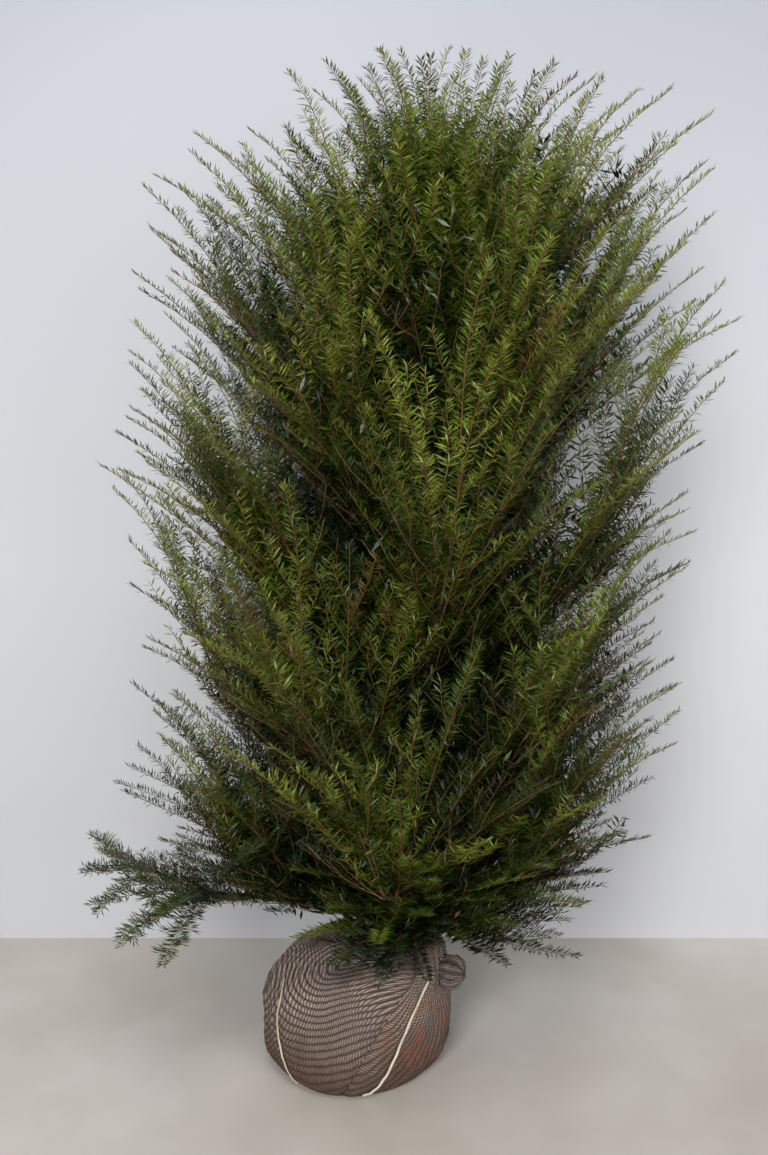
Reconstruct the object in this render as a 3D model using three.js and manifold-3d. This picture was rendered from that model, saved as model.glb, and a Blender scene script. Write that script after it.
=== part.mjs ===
// A yew sapling on its wrapped root ball.
//
// The ball of soil stands on its flat underside, tied up in knitted jute.  A leaning trunk
// rises from its top.  Short boughs leave the trunk and each carries one plume of foliage.
// The plumes stand in five tiers round the trunk, under a ring of top plumes and a leader.
//
// Units are millimetres and +Z is up.  The origin is the middle of the ball's flat foot.

import * as THREE from "three";
import { mergeVertices } from "three/addons/utils/BufferGeometryUtils.js";
import Module from "manifold-3d";

const wasm = await Module();
wasm.setup();

// ---- Driving dimensions ----

const GAP = 0.4; // clearance between pieces that touch

const BALL_RADIUS = 206;
const BALL_HEIGHT = 318;
const BALL_BELLY = 95; // height of the ball's widest ring
const BALL_FOOT_RADIUS = 166;
const BALL_NECK_RADIUS = 58;
const NECK_RIGHT = 115; // the neck, and the trunk in it, stand to the right of the foot
const NECK_FRONT = 75; // and in front of its middle
const BALL_SIDES = 32;
const BALL_RING_HEIGHTS = [0, 6, 20, 50, 95, 140, 180, 215, 245, 270, 290, 306, BALL_HEIGHT];
const BALL_OVAL = 0.018; // how far the ball is out of round, as a share of its radius
const BALL_LUMPS = 0.012; // height of its three soft lumps, as a share of its radius
const BALL_LUMP_TWIST = 70; // the lumps turn by one radian over this height

const TIE_WIDTH = 6.5;
const TIE_THICKNESS = 2;
const TIE_STANDOFF = 1.5; // from the ball's round surface, which its facets stay inside

const TRUNK_TOP = 1650;
const TRUNK_RADIUS = 23;
const TRUNK_TIP_RADIUS = 7;
const TRUNK_FLARE = 14; // added to the radius at the root flare
const TRUNK_FLARE_HEIGHT = 60;
const TRUNK_FLUTES = 0.16; // depth of the five flutes at the flare, as a share of its radius
const TRUNK_SIDES = 10;
const TRUNK_RING_SHARES = [0, 0.02, 0.05, 0.1, 0.2, 0.35, 0.5, 0.65, 0.8, 1];

const PLANT_HEIGHT = 2108;
const LEADER_RIGHT = 183; // how far the leader's tip stands to the right of the ball's foot

const BOUGH_SIDES = 7;
const BOUGH_STEPS = 3;
const BOUGH_TO_TRUNK = 0.46; // bough radius over trunk radius where they meet
const BOUGH_TAPER = 0.6; // bough radius at its plume over bough radius at the trunk
const BOUGH_REACH = 0.985; // share of the way out to its plume's flat-sided inner face

const SHOOT_ARCH = 0.0004; // how fast shoots flatten as they run out, for each millimetre
const SHOOT_WAVE = 75; // how far the tiers' edges rise and fall round the plant, at WAVE_RADIUS
const SKIRT_TILT = 170; // how far the skirt lifts in front and drops behind, at WAVE_RADIUS
const WAVE_RADIUS = 600;

const PLUME_COLUMNS = 5; // facets round a plume's outer face
const PLUME_ROWS = 4; // facets up its outer face
const PLUME_STEPS = 4; // facets from its inner face to its outer face
const PLUME_GAP = 5; // least space between neighbouring plumes
const PLUME_FILL = 0.97; // share of its tier's height that a plume fills where it begins
const PLUME_NARROWING = 0.16; // share of its width that it loses on the way out
const PLUME_FLATTENING = 0.08; // share of its height that it loses on the way out
const EDGE_RAGGED = 0.14; // how far a plume's edges draw in at random, as a share
const TIP_RAGGED = 0.04; // how far shoot tips fall short of the reach at random, as a share
const HOLLOW_REACH = 0.72; // least reach of the hollows between tips, as a share
const HOLLOW_RAGGED = 0.1; // added to it at random

// Shoots that leave the trunk at one height sweep out a funnel.  These are the funnels between
// the tiers: the height where each meets the trunk's middle, and its slope there.
const FUNNELS = [
  { height: 345, slope: -0.12 },
  { height: 430, slope: 0.48 },
  { height: 600, slope: 1.02 },
  { height: 830, slope: 1.5 },
  { height: 1080, slope: 1.98 },
  { height: 1290, slope: 2.9 },
  { height: 1480, slope: 5.6 },
];

// How far the shoot tips reach from the trunk's line, at heights up the plant.
const REACH = [
  { height: 150, right: 125, back: 220, left: 280, front: 240 },
  { height: 300, right: 322, back: 350, left: 460, front: 400 },
  { height: 440, right: 488, back: 415, left: 722, front: 510 },
  { height: 590, right: 521, back: 440, left: 689, front: 545 },
  { height: 720, right: 480, back: 450, left: 595, front: 540 },
  { height: 840, right: 568, back: 440, left: 592, front: 570 },
  { height: 1040, right: 452, back: 455, left: 588, front: 590 },
  { height: 1190, right: 541, back: 460, left: 609, front: 585 },
  { height: 1280, right: 516, back: 455, left: 654, front: 600 },
  { height: 1430, right: 570, back: 460, left: 620, front: 570 },
  { height: 1570, right: 637, back: 450, left: 613, front: 580 },
  { height: 1700, right: 539, back: 450, left: 596, front: 540 },
  { height: 1830, right: 536, back: 430, left: 579, front: 520 },
  { height: 1900, right: 535, back: 410, left: 565, front: 480 },
  { height: 1960, right: 523, back: 370, left: 537, front: 420 },
  { height: 2010, right: 435, back: 300, left: 385, front: 330 },
  { height: 2050, right: 147, back: 180, left: 253, front: 190 },
  { height: PLANT_HEIGHT, right: 20, back: 20, left: 20, front: 20 },
];

// The tiers from the ground up.  A plume's sector is centred on turn, in degrees from the right
// side round to the back, and the rest follow evenly.  inner is where the plumes begin, and
// the boughs that carry them end.  The top plumes grow straight from the trunk's tip.
const TIERS = [
  { name: "skirt", plumes: 5, turn: 195, inner: 150, colour: "#3a4016" },
  { name: "low", plumes: 5, turn: 238, inner: 150, colour: "#3d4519" },
  { name: "middle", plumes: 5, turn: 200, inner: 145, colour: "#434a1c" },
  { name: "upper", plumes: 5, turn: 232, inner: 130, colour: "#4a4f20" },
  { name: "shoulder", plumes: 4, turn: 215, inner: 85, colour: "#525523" },
  { name: "top", plumes: 3, turn: 250, inner: 42, colour: "#585a27" },
];
const ARM_TURN = 195; // the low arm on the front left
const ARM_INNER = 430; // its stem is bare this far out
const ARM_THICKNESS = 0.72; // share of the skirt's height that the arm's flat spray fills

// The leader's rings: how far up it each stands, its radius, and how far its tips lift.
const LEADER_RINGS = [
  { share: 0, radius: 12, lift: 0 },
  { share: 0.2, radius: 20, lift: 0 },
  { share: 0.45, radius: 38, lift: 0 },
  { share: 0.7, radius: 58, lift: 34 },
  { share: 0.88, radius: 44, lift: 34 },
  { share: 1, radius: 5, lift: 0 },
];
const LEADER_SIDES = 8;

// The ties: the height where each comes out of the jute's folds, and its turn there and at
// the foot, in degrees from the right side round to the back.  A tie whose swing is under 1
// makes most of its turn near the top.
const TIES = [
  { name: "tie_front_left", height: 222, topTurn: 203, footTurn: 230, swing: 0.35 },
  { name: "tie_front_right", height: 238, topTurn: 319, footTurn: 276, swing: 0.72 },
  { name: "tie_back_right", height: 250, topTurn: 50, footTurn: 62, swing: 1 },
  { name: "tie_back_left", height: 250, topTurn: 130, footTurn: 118, swing: 1 },
];
const TIE_FOOT_HEIGHT = 8;
const TIE_STEPS = 12;

// The gathered end of the jute: where it is knotted, and its size out, across and up.
const KNOT = { turn: 341, height: 232, standoff: 10, out: 42, across: 34, up: 38 };
const KNOT_FOLDS = 7;
const KNOT_FOLD_DEPTH = 0.12; // as a share of its size

const JUTE_COLOUR = "#70604f";
const TIE_COLOUR = "#c9bba2";
const BARK_COLOUR = "#5b4636";
const LEADER_COLOUR = "#5c5d29";
const CLOTH_ROUGHNESS = 0.95;
const BARK_ROUGHNESS = 0.9;
const FOLIAGE_ROUGHNESS = 0.75;

// ---- Small helpers ----

function material(colour, roughness) {
  return new THREE.MeshStandardMaterial({ color: colour, roughness, metalness: 0 });
}

// Repeatable random numbers from 0 to 1.
function seededRandom(seed) {
  let state = seed * 7919 + 17;
  return () => {
    state = (state * 16807) % 2147483647;
    return state / 2147483647;
  };
}

// The value of one key between two rows of a table that is sorted by height.
function interpolate(table, height, key) {
  const last = table[table.length - 1];
  if (height >= last.height) {
    return last[key];
  }
  const above = Math.max(1, table.findIndex((row) => row.height > height));
  const low = table[above - 1];
  const high = table[above];
  const share = THREE.MathUtils.clamp((height - low.height) / (high.height - low.height), 0, 1);
  return THREE.MathUtils.lerp(low[key], high[key], share);
}

// A closed solid through rings of points, each ring turning the same way, capped at both ends.
function loft(rings) {
  const sides = rings[0].length;
  const points = rings.flat();
  const triangles = [];
  for (let ring = 0; ring < rings.length - 1; ring += 1) {
    for (let side = 0; side < sides; side += 1) {
      const here = ring * sides + side;
      const next = ring * sides + ((side + 1) % sides);
      triangles.push(here, next, next + sides, here, next + sides, here + sides);
    }
  }
  const lastRing = (rings.length - 1) * sides;
  for (let side = 1; side < sides - 1; side += 1) {
    triangles.push(0, side + 1, side);
    triangles.push(lastRing, lastRing + side, lastRing + side + 1);
  }
  const geometry = new THREE.BufferGeometry().setFromPoints(points);
  geometry.setIndex(triangles);
  return geometry;
}

function toManifold(geometry) {
  const merged = mergeVertices(geometry, 1e-4);
  const mesh = new wasm.Mesh({
    numProp: 3,
    vertProperties: Float32Array.from(merged.attributes.position.array),
    triVerts: Uint32Array.from(merged.index.array),
  });
  return new wasm.Manifold(mesh);
}

function fromManifold(solid) {
  const mesh = solid.getMesh();
  const geometry = new THREE.BufferGeometry();
  geometry.setAttribute("position", new THREE.BufferAttribute(mesh.vertProperties, 3));
  geometry.setIndex(new THREE.BufferAttribute(mesh.triVerts, 1));
  return geometry;
}

function subtract(geometry, cutter) {
  return fromManifold(toManifold(geometry).subtract(toManifold(cutter)));
}

// A named mesh whose own origin is at anchor.
function place(name, geometry, anchor, look) {
  geometry.translate(-anchor.x, -anchor.y, -anchor.z);
  geometry.computeVertexNormals();
  const mesh = new THREE.Mesh(geometry, look);
  mesh.name = name;
  mesh.position.copy(anchor);
  return mesh;
}

// The plain name of the side that an angle faces.
function sideName(degrees) {
  const behind = ["right", "back_right", "back", "back_left"];
  const before = ["left", "front_left", "front", "front_right"];
  const names = [...behind, ...before];
  return names[Math.round((degrees * names.length) / 360) % names.length];
}

// ---- Root ball ----

// How far up from the belly to the neck a height is, from 0 to 1.
function ballRise(height) {
  return Math.max(0, (height - BALL_BELLY) / (BALL_HEIGHT - BALL_BELLY));
}

// The ball's radius: a settled sack, widest low down, with slight lumps.
function ballRadius(angle, height) {
  const oval = BALL_OVAL * Math.sin(2 * angle + 0.8);
  const lumps = 1 + oval + BALL_LUMPS * Math.sin(3 * angle + height / BALL_LUMP_TWIST);
  if (height < BALL_BELLY) {
    const below = 1 - height / BALL_BELLY;
    const bulge = Math.sqrt(1 - below * below);
    return lumps * THREE.MathUtils.lerp(BALL_FOOT_RADIUS, BALL_RADIUS, bulge);
  }
  return lumps * THREE.MathUtils.lerp(BALL_RADIUS, BALL_NECK_RADIUS, ballRise(height) ** 3);
}

// A point on the ball's surface.  The rings shift towards the neck as they rise.
function ballPoint(angle, height, standoff) {
  const radius = ballRadius(angle, height) + standoff;
  const shift = ballRise(height) ** 3;
  return new THREE.Vector3(
    NECK_RIGHT * shift + radius * Math.cos(angle),
    -NECK_FRONT * shift + radius * Math.sin(angle),
    height,
  );
}

function ballSolid(standoff) {
  const rings = [];
  for (const height of BALL_RING_HEIGHTS) {
    const ring = [];
    for (let side = 0; side < BALL_SIDES; side += 1) {
      ring.push(ballPoint((side / BALL_SIDES) * 2 * Math.PI, height, standoff));
    }
    rings.push(ring);
  }
  return loft(rings);
}

function rootBall() {
  return place("root_ball", ballSolid(0), new THREE.Vector3(), material(JUTE_COLOUR, CLOTH_ROUGHNESS));
}

// The end of the jute, pulled together and knotted on the front right shoulder of the ball.
// Its folds run up and down it.
function juteKnot() {
  const centre = ballPoint(THREE.MathUtils.degToRad(KNOT.turn), KNOT.height, KNOT.standoff);
  const knot = new THREE.SphereGeometry(1, 12, 8);
  knot.deleteAttribute("normal");
  knot.deleteAttribute("uv");
  const position = knot.attributes.position;
  const point = new THREE.Vector3();
  for (let index = 0; index < position.count; index += 1) {
    point.fromBufferAttribute(position, index);
    const fold = Math.sin(KNOT_FOLDS * Math.atan2(point.y, point.x));
    const gathered = 1 + KNOT_FOLD_DEPTH * fold * (1 - point.z * point.z);
    position.setXYZ(index, point.x * gathered, point.y * gathered, point.z);
  }
  knot.scale(KNOT.out, KNOT.across, KNOT.up);
  knot.translate(centre.x, centre.y, centre.z);
  const look = material(JUTE_COLOUR, CLOTH_ROUGHNESS);
  return place("jute_knot", subtract(knot, ballSolid(GAP)), centre, look);
}

// A flat tie pulled down over the ball, from its shoulder to the edge of its foot.
function tie(name, topHeight, topTurn, footTurn, swing) {
  const rings = [];
  for (let step = 0; step <= TIE_STEPS; step += 1) {
    const share = step / TIE_STEPS;
    const fall = Math.sin((share * Math.PI) / 2);
    const height = THREE.MathUtils.lerp(topHeight, TIE_FOOT_HEIGHT, fall);
    const turn = THREE.MathUtils.degToRad(THREE.MathUtils.lerp(topTurn, footTurn, share ** swing));
    const halfTurn = TIE_WIDTH / 2 / ballRadius(turn, height);
    rings.push([
      ballPoint(turn - halfTurn, height, TIE_STANDOFF),
      ballPoint(turn + halfTurn, height, TIE_STANDOFF),
      ballPoint(turn + halfTurn, height, TIE_STANDOFF + TIE_THICKNESS),
      ballPoint(turn - halfTurn, height, TIE_STANDOFF + TIE_THICKNESS),
    ]);
  }
  const anchor = ballPoint(THREE.MathUtils.degToRad(topTurn), topHeight, 0);
  return place(name, loft(rings), anchor, material(TIE_COLOUR, CLOTH_ROUGHNESS));
}

// ---- Trunk and boughs ----

// The line that the trunk follows, and that the crown is built round.
function trunkLine(height) {
  const share = THREE.MathUtils.clamp((height - BALL_HEIGHT) / (PLANT_HEIGHT - BALL_HEIGHT), 0, 1);
  const right = THREE.MathUtils.lerp(NECK_RIGHT, LEADER_RIGHT, share);
  return new THREE.Vector3(right, -NECK_FRONT * (1 - share) ** 3, height);
}

function trunkRadius(height) {
  const share = (height - BALL_HEIGHT) / (TRUNK_TOP - BALL_HEIGHT);
  const flare = TRUNK_FLARE * Math.exp(-(height - BALL_HEIGHT) / TRUNK_FLARE_HEIGHT);
  return THREE.MathUtils.lerp(TRUNK_RADIUS, TRUNK_TIP_RADIUS, share) + flare;
}

function trunkSolid(standoff) {
  const foot = BALL_HEIGHT + GAP;
  const rings = [];
  for (const share of TRUNK_RING_SHARES) {
    const height = THREE.MathUtils.lerp(foot, TRUNK_TOP, share);
    const middle = trunkLine(height);
    const flare = Math.exp(-(height - BALL_HEIGHT) / TRUNK_FLARE_HEIGHT);
    const ring = [];
    for (let side = 0; side < TRUNK_SIDES; side += 1) {
      const angle = (side / TRUNK_SIDES) * 2 * Math.PI;
      const roots = 1 + TRUNK_FLUTES * flare * Math.cos(5 * angle);
      const radius = trunkRadius(height) * roots + standoff;
      ring.push(new THREE.Vector3(
        middle.x + radius * Math.cos(angle),
        middle.y + radius * Math.sin(angle),
        height,
      ));
    }
    rings.push(ring);
  }
  return loft(rings);
}

function trunk() {
  return place("trunk", trunkSolid(0), trunkLine(BALL_HEIGHT), material(BARK_COLOUR, BARK_ROUGHNESS));
}

// A point on a shoot line: level counts funnels from the skirt up, and radius is the level
// distance from the trunk's line.
function shootPoint(level, angle, radius) {
  const lower = Math.min(Math.floor(level), FUNNELS.length - 2);
  const share = level - lower;
  const base = THREE.MathUtils.lerp(FUNNELS[lower].height, FUNNELS[lower + 1].height, share);
  const slope = THREE.MathUtils.lerp(FUNNELS[lower].slope, FUNNELS[lower + 1].slope, share);
  const wave = SHOOT_WAVE * Math.min(level, 1) * Math.sin(3 * angle + 1.9 * level);
  const tilt = -SKIRT_TILT * Math.max(0, 1 - level / 2) * Math.sin(angle);
  const run = radius - SHOOT_ARCH * radius * radius;
  const height = base + slope * run + ((wave + tilt) * radius) / WAVE_RADIUS;
  const middle = trunkLine(height);
  return new THREE.Vector3(
    middle.x + radius * Math.cos(angle),
    middle.y + radius * Math.sin(angle),
    height,
  );
}

// A tapering limb from inside the trunk out to where its plume begins.
function bough(name, shape) {
  const start = shootPoint(shape.level, shape.angle, 0);
  const startRadius = trunkRadius(start.z) * BOUGH_TO_TRUNK;
  const reach = shape.inner * BOUGH_REACH - startRadius;
  const sideways = new THREE.Vector3(-Math.sin(shape.angle), Math.cos(shape.angle), 0);
  const rings = [];
  for (let step = 0; step <= BOUGH_STEPS; step += 1) {
    const share = step / BOUGH_STEPS;
    const middle = shootPoint(shape.level, shape.angle, reach * share);
    const ahead = shootPoint(shape.level, shape.angle, reach * share + 1).sub(middle).normalize();
    const upward = new THREE.Vector3().crossVectors(ahead, sideways);
    const radius = startRadius * THREE.MathUtils.lerp(1, BOUGH_TAPER, share);
    const ring = [];
    for (let side = 0; side < BOUGH_SIDES; side += 1) {
      const turn = (side / BOUGH_SIDES) * 2 * Math.PI;
      ring.push(middle.clone()
        .addScaledVector(sideways, radius * Math.cos(turn))
        .addScaledVector(upward, radius * Math.sin(turn)));
    }
    rings.push(ring);
  }
  const geometry = subtract(loft(rings), trunkSolid(GAP));
  return place(name, geometry, start, material(BARK_COLOUR, BARK_ROUGHNESS));
}

// ---- Foliage ----

// The tips' reach at a height, blended between the four sides.
function reachAt(angle, height) {
  const across = interpolate(REACH, height, Math.cos(angle) > 0 ? "right" : "left");
  const along = interpolate(REACH, height, Math.sin(angle) > 0 ? "back" : "front");
  return THREE.MathUtils.lerp(across, along, Math.sin(angle) ** 2);
}

// How far a shoot line runs before it comes out of the crown.
function tipRadius(level, angle) {
  const step = 4;
  let radius = step;
  while (radius < reachAt(angle, shootPoint(level, angle, radius).z)) {
    radius += step;
  }
  return radius;
}

// One plume: a closed block of shoot lines between two levels and two angles.  It narrows
// towards its end, and its outer face is drawn out into shoot tips with hollows between them.
function plume(name, shape, seed, colour) {
  const random = seededRandom(seed);
  const points = [];
  const numbers = new Map();

  function isTip(column, row) {
    return (column + row) % 2 === 1;
  }

  // The number of the point at a column, a row and a step out, made when it is first asked for.
  function pointNumber(column, row, step) {
    const key = `${column},${row},${step}`;
    if (!numbers.has(key)) {
      const out = step / PLUME_STEPS;
      const sideways = (2 * column) / PLUME_COLUMNS - 1;
      const upward = (2 * row) / PLUME_ROWS - 1;
      const ragged = out * EDGE_RAGGED;
      const width = (1 - PLUME_NARROWING * out ** 2) * (1 - ragged * random());
      const depth = (1 - PLUME_FLATTENING * out ** 2) * (1 - ragged * random());
      const level = shape.level + 0.5 * PLUME_FILL * shape.thickness * upward * depth;
      const gapAngle = PLUME_GAP / (shape.inner * 2);
      const turn = shape.angle + sideways * width * (shape.halfAngle - gapAngle);
      const tip = 1 - TIP_RAGGED * random();
      const hollow = HOLLOW_REACH + HOLLOW_RAGGED * random();
      const reach = tipRadius(level, turn) * (out === 1 && isTip(column, row) ? tip : hollow);
      numbers.set(key, points.length);
      points.push(shootPoint(level, turn, THREE.MathUtils.lerp(shape.inner, reach, out)));
    }
    return numbers.get(key);
  }

  const triangles = [];
  // Adds a four-cornered facet, given its corners anticlockwise from outside.
  function facet(...corners) {
    const [a, b, c, d] = corners.map((corner) => pointNumber(...corner));
    triangles.push(a, b, c, a, c, d);
  }

  for (let column = 0; column < PLUME_COLUMNS; column += 1) {
    for (let row = 0; row < PLUME_ROWS; row += 1) {
      const outer = [[column, row], [column + 1, row], [column + 1, row + 1], [column, row + 1]]
        .map((corner) => [...corner, PLUME_STEPS]);
      // The fold runs between the two hollows, which leaves each tip standing alone.
      if (isTip(column, row)) {
        outer.unshift(outer.pop());
      }
      facet(...outer);
      facet([column, row, 0], [column, row + 1, 0], [column + 1, row + 1, 0], [column + 1, row, 0]);
    }
  }
  for (let step = 0; step < PLUME_STEPS; step += 1) {
    const next = step + 1;
    for (let column = 0; column < PLUME_COLUMNS; column += 1) {
      const beside = column + 1;
      facet([column, 0, step], [beside, 0, step], [beside, 0, next], [column, 0, next]);
      const top = PLUME_ROWS;
      facet([column, top, step], [column, top, next], [beside, top, next], [beside, top, step]);
    }
    for (let row = 0; row < PLUME_ROWS; row += 1) {
      const above = row + 1;
      facet([0, row, step], [0, row, next], [0, above, next], [0, above, step]);
      const end = PLUME_COLUMNS;
      facet([end, row, step], [end, above, step], [end, above, next], [end, row, next]);
    }
  }
  const geometry = new THREE.BufferGeometry().setFromPoints(points);
  geometry.setIndex(triangles);
  const anchor = shootPoint(shape.level, shape.angle, shape.inner);
  return place(name, geometry, anchor, material(colour, FOLIAGE_ROUGHNESS));
}

// The leader: a ragged spindle on the trunk's tip that reaches the top of the plant.
function leader() {
  const foot = TRUNK_TOP + GAP;
  const rings = LEADER_RINGS.map(({ share, radius, lift }) => {
    const ring = [];
    for (let side = 0; side < LEADER_SIDES; side += 1) {
      const angle = (side / LEADER_SIDES) * 2 * Math.PI;
      const isTip = side % 2 === 0;
      const out = isTip ? radius : radius * HOLLOW_REACH;
      const height = THREE.MathUtils.lerp(foot, PLANT_HEIGHT, share) + (isTip ? lift : 0);
      const middle = trunkLine(height);
      ring.push(new THREE.Vector3(
        middle.x + out * Math.cos(angle),
        middle.y + out * Math.sin(angle),
        height,
      ));
    }
    return ring;
  });
  const look = material(LEADER_COLOUR, FOLIAGE_ROUGHNESS);
  return place("foliage_leader", loft(rings), trunkLine(foot), look);
}

// ---- Assembly ----

const group = new THREE.Group();
group.add(rootBall());
group.add(juteKnot());
TIES.forEach(({ name, height, topTurn, footTurn, swing }) => {
  group.add(tie(name, height, topTurn, footTurn, swing));
});
group.add(trunk());
group.add(leader());

TIERS.forEach((tier, tierIndex) => {
  for (let number = 0; number < tier.plumes; number += 1) {
    const degrees = (tier.turn + (360 / tier.plumes) * number) % 360;
    const isArm = tier.name === "skirt" && degrees === ARM_TURN;
    const side = sideName(degrees);
    const shape = {
      level: tierIndex + 0.5,
      thickness: isArm ? ARM_THICKNESS : 1,
      angle: THREE.MathUtils.degToRad(degrees),
      halfAngle: Math.PI / tier.plumes,
      inner: isArm ? ARM_INNER : tier.inner,
    };
    const seed = tierIndex * 10 + number + 1;
    group.add(plume(`foliage_${tier.name}_${side}`, shape, seed, tier.colour));
    if (tier.name !== "top") {
      group.add(bough(`bough_${tier.name}_${side}`, shape));
    }
  }
});

export default group;
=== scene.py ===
import math

import bmesh
import bpy
import numpy as np
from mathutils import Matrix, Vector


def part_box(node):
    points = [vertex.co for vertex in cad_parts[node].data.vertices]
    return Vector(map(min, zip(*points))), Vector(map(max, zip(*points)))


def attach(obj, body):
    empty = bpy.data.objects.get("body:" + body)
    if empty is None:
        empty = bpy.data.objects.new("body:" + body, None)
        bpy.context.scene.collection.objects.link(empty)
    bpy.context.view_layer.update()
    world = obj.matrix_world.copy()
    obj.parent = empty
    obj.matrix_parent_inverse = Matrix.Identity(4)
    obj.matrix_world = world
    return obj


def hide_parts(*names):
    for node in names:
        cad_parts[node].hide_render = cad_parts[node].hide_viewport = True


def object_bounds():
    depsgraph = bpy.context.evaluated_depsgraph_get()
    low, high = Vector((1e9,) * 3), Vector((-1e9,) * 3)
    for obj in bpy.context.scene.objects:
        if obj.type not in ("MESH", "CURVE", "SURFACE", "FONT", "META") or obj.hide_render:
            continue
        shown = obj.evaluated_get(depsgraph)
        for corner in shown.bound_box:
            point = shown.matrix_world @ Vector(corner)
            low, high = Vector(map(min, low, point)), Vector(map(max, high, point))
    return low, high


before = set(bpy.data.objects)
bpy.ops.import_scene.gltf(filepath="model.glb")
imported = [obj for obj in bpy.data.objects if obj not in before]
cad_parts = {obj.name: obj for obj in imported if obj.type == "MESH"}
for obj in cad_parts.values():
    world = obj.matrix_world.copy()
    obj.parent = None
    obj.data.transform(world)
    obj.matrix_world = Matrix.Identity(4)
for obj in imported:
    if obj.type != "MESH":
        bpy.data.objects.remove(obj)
cad_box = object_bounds()

# ---- Camera ----
# The plant is looked at from a little above its middle, at the height of a grown person's
# eyes, with a short lens that takes in the whole of it, from the floor to the leader.
CAMERA_PLACE = (0.064, -2.3, 1.49)
CAMERA_TILT = math.radians(79.8)
CAMERA_LENS = 35.0

camera = bpy.data.objects.new("camera", bpy.data.cameras.new("camera"))
camera.data.lens = CAMERA_LENS
camera.location = CAMERA_PLACE
camera.rotation_euler = (CAMERA_TILT, 0.0, 0.0)
bpy.context.scene.collection.objects.link(camera)
bpy.context.scene.camera = camera

# ---- Floor, backdrop and lamps ----
# A pale sealed floor, and white sheeting hung just behind the plant.  The sheeting is clear
# from behind, so the plant's back can be seen.  A big soft lamp stands front left, high up,
# with weaker ones on the right and overhead.
FLOOR_SIZE = 9.0
FLOOR_COLOUR = (0.66, 0.62, 0.575)
FLOOR_DUSTY_COLOUR = (0.53, 0.485, 0.42)
FLOOR_ROUGHNESS = 0.35
BACKDROP_BEHIND = 0.05  # space between the plant's back and the sheeting
BACKDROP_WIDTH = 3.6
BACKDROP_HEIGHT = 2.9
BACKDROP_COLOUR = (0.62, 0.63, 0.66)
BACKDROP_PAINTED_SHADE_COLOUR = (0.38, 0.395, 0.44)
BACKDROP_DARKENS = (1.0, 2.6)  # the heights between which painted shade darkens the sheeting towards its top
BACKDROP_ROUGHNESS = 0.5
NOISE_ROUGHNESS = 0.55
SKY_COLOUR = (0.93, 0.96, 1.0)
SKY_STRENGTH = 0.22
LAMPS = {
    "lamp_front_left": {"place": (-1.2, -4.6, 2.7), "size": 1.6, "watts": 182.0},
    "lamp_right": {"place": (2.7, -3.2, 1.8), "size": 2.2, "watts": 57.0},
    "lamp_overhead": {"place": (0.1, -2.2, 3.7), "size": 1.0, "watts": 36.0},
}
LAMP_AIM = (0.1, 0.0, 1.0)


def new_material(name, base_colour, roughness):
    """A material with one shader, its plain values set, and that shader."""
    material = bpy.data.materials.new(name)
    material.use_nodes = True
    shader = material.node_tree.nodes["Principled BSDF"]
    shader.inputs["Base Color"].default_value = (*base_colour, 1.0)
    shader.inputs["Roughness"].default_value = roughness
    return material, shader


def add_object(name, mesh_or_bmesh, material, smooth=True):
    """A piece at the origin from a finished bmesh or mesh."""
    mesh = mesh_or_bmesh
    if isinstance(mesh_or_bmesh, bmesh.types.BMesh):
        mesh = bpy.data.meshes.new(name)
        mesh_or_bmesh.to_mesh(mesh)
        mesh_or_bmesh.free()
    mesh.materials.append(material)
    if smooth:
        mesh.shade_smooth()
    else:
        mesh.shade_flat()
    piece = bpy.data.objects.new(name, mesh)
    bpy.context.scene.collection.objects.link(piece)
    return piece


def soft_patches_group():
    """A shader group for uneven patches, as a mask that is 1 in them and 0 between them."""
    group = bpy.data.node_groups.new("soft_patches", "ShaderNodeTree")
    group.interface.new_socket("Place", in_out="INPUT", socket_type="NodeSocketVector")
    for name in ("Scale", "Detail", "Low", "High"):
        group.interface.new_socket(name, in_out="INPUT", socket_type="NodeSocketFloat")
    group.interface.new_socket("Mask", in_out="OUTPUT", socket_type="NodeSocketFloat")
    given = group.nodes.new("NodeGroupInput")
    cloud = group.nodes.new("ShaderNodeTexNoise")
    cloud.inputs["Roughness"].default_value = NOISE_ROUGHNESS
    stretch = group.nodes.new("ShaderNodeMapRange")
    result = group.nodes.new("NodeGroupOutput")
    group.links.new(given.outputs["Place"], cloud.inputs["Vector"])
    group.links.new(given.outputs["Scale"], cloud.inputs["Scale"])
    group.links.new(given.outputs["Detail"], cloud.inputs["Detail"])
    group.links.new(given.outputs["Low"], stretch.inputs["From Min"])
    group.links.new(given.outputs["High"], stretch.inputs["From Max"])
    group.links.new(cloud.outputs["Fac"], stretch.inputs["Value"])
    group.links.new(stretch.outputs["Result"], result.inputs["Mask"])
    return group


soft_patches = soft_patches_group()


def patch_mask(tree, place, scale, detail, low, high):
    """Uneven patches over a piece, from the shader group, with a material's own values."""
    patches = tree.nodes.new("ShaderNodeGroup")
    patches.node_tree = soft_patches
    patches.inputs["Scale"].default_value = scale
    patches.inputs["Detail"].default_value = detail
    patches.inputs["Low"].default_value = low
    patches.inputs["High"].default_value = high
    tree.links.new(place, patches.inputs["Place"])
    return patches.outputs["Mask"]


def blend_colours(tree, mask, first, second):
    """A mix of two colours, each a plain colour or another node's output, by a mask."""
    mix = tree.nodes.new("ShaderNodeMix")
    mix.data_type = "RGBA"
    for socket, colour in ((6, first), (7, second)):
        if isinstance(colour, tuple):
            mix.inputs[socket].default_value = (*colour, 1.0)
        else:
            tree.links.new(colour, mix.inputs[socket])
    tree.links.new(mask, mix.inputs["Factor"])
    return mix.outputs[2]


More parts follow.
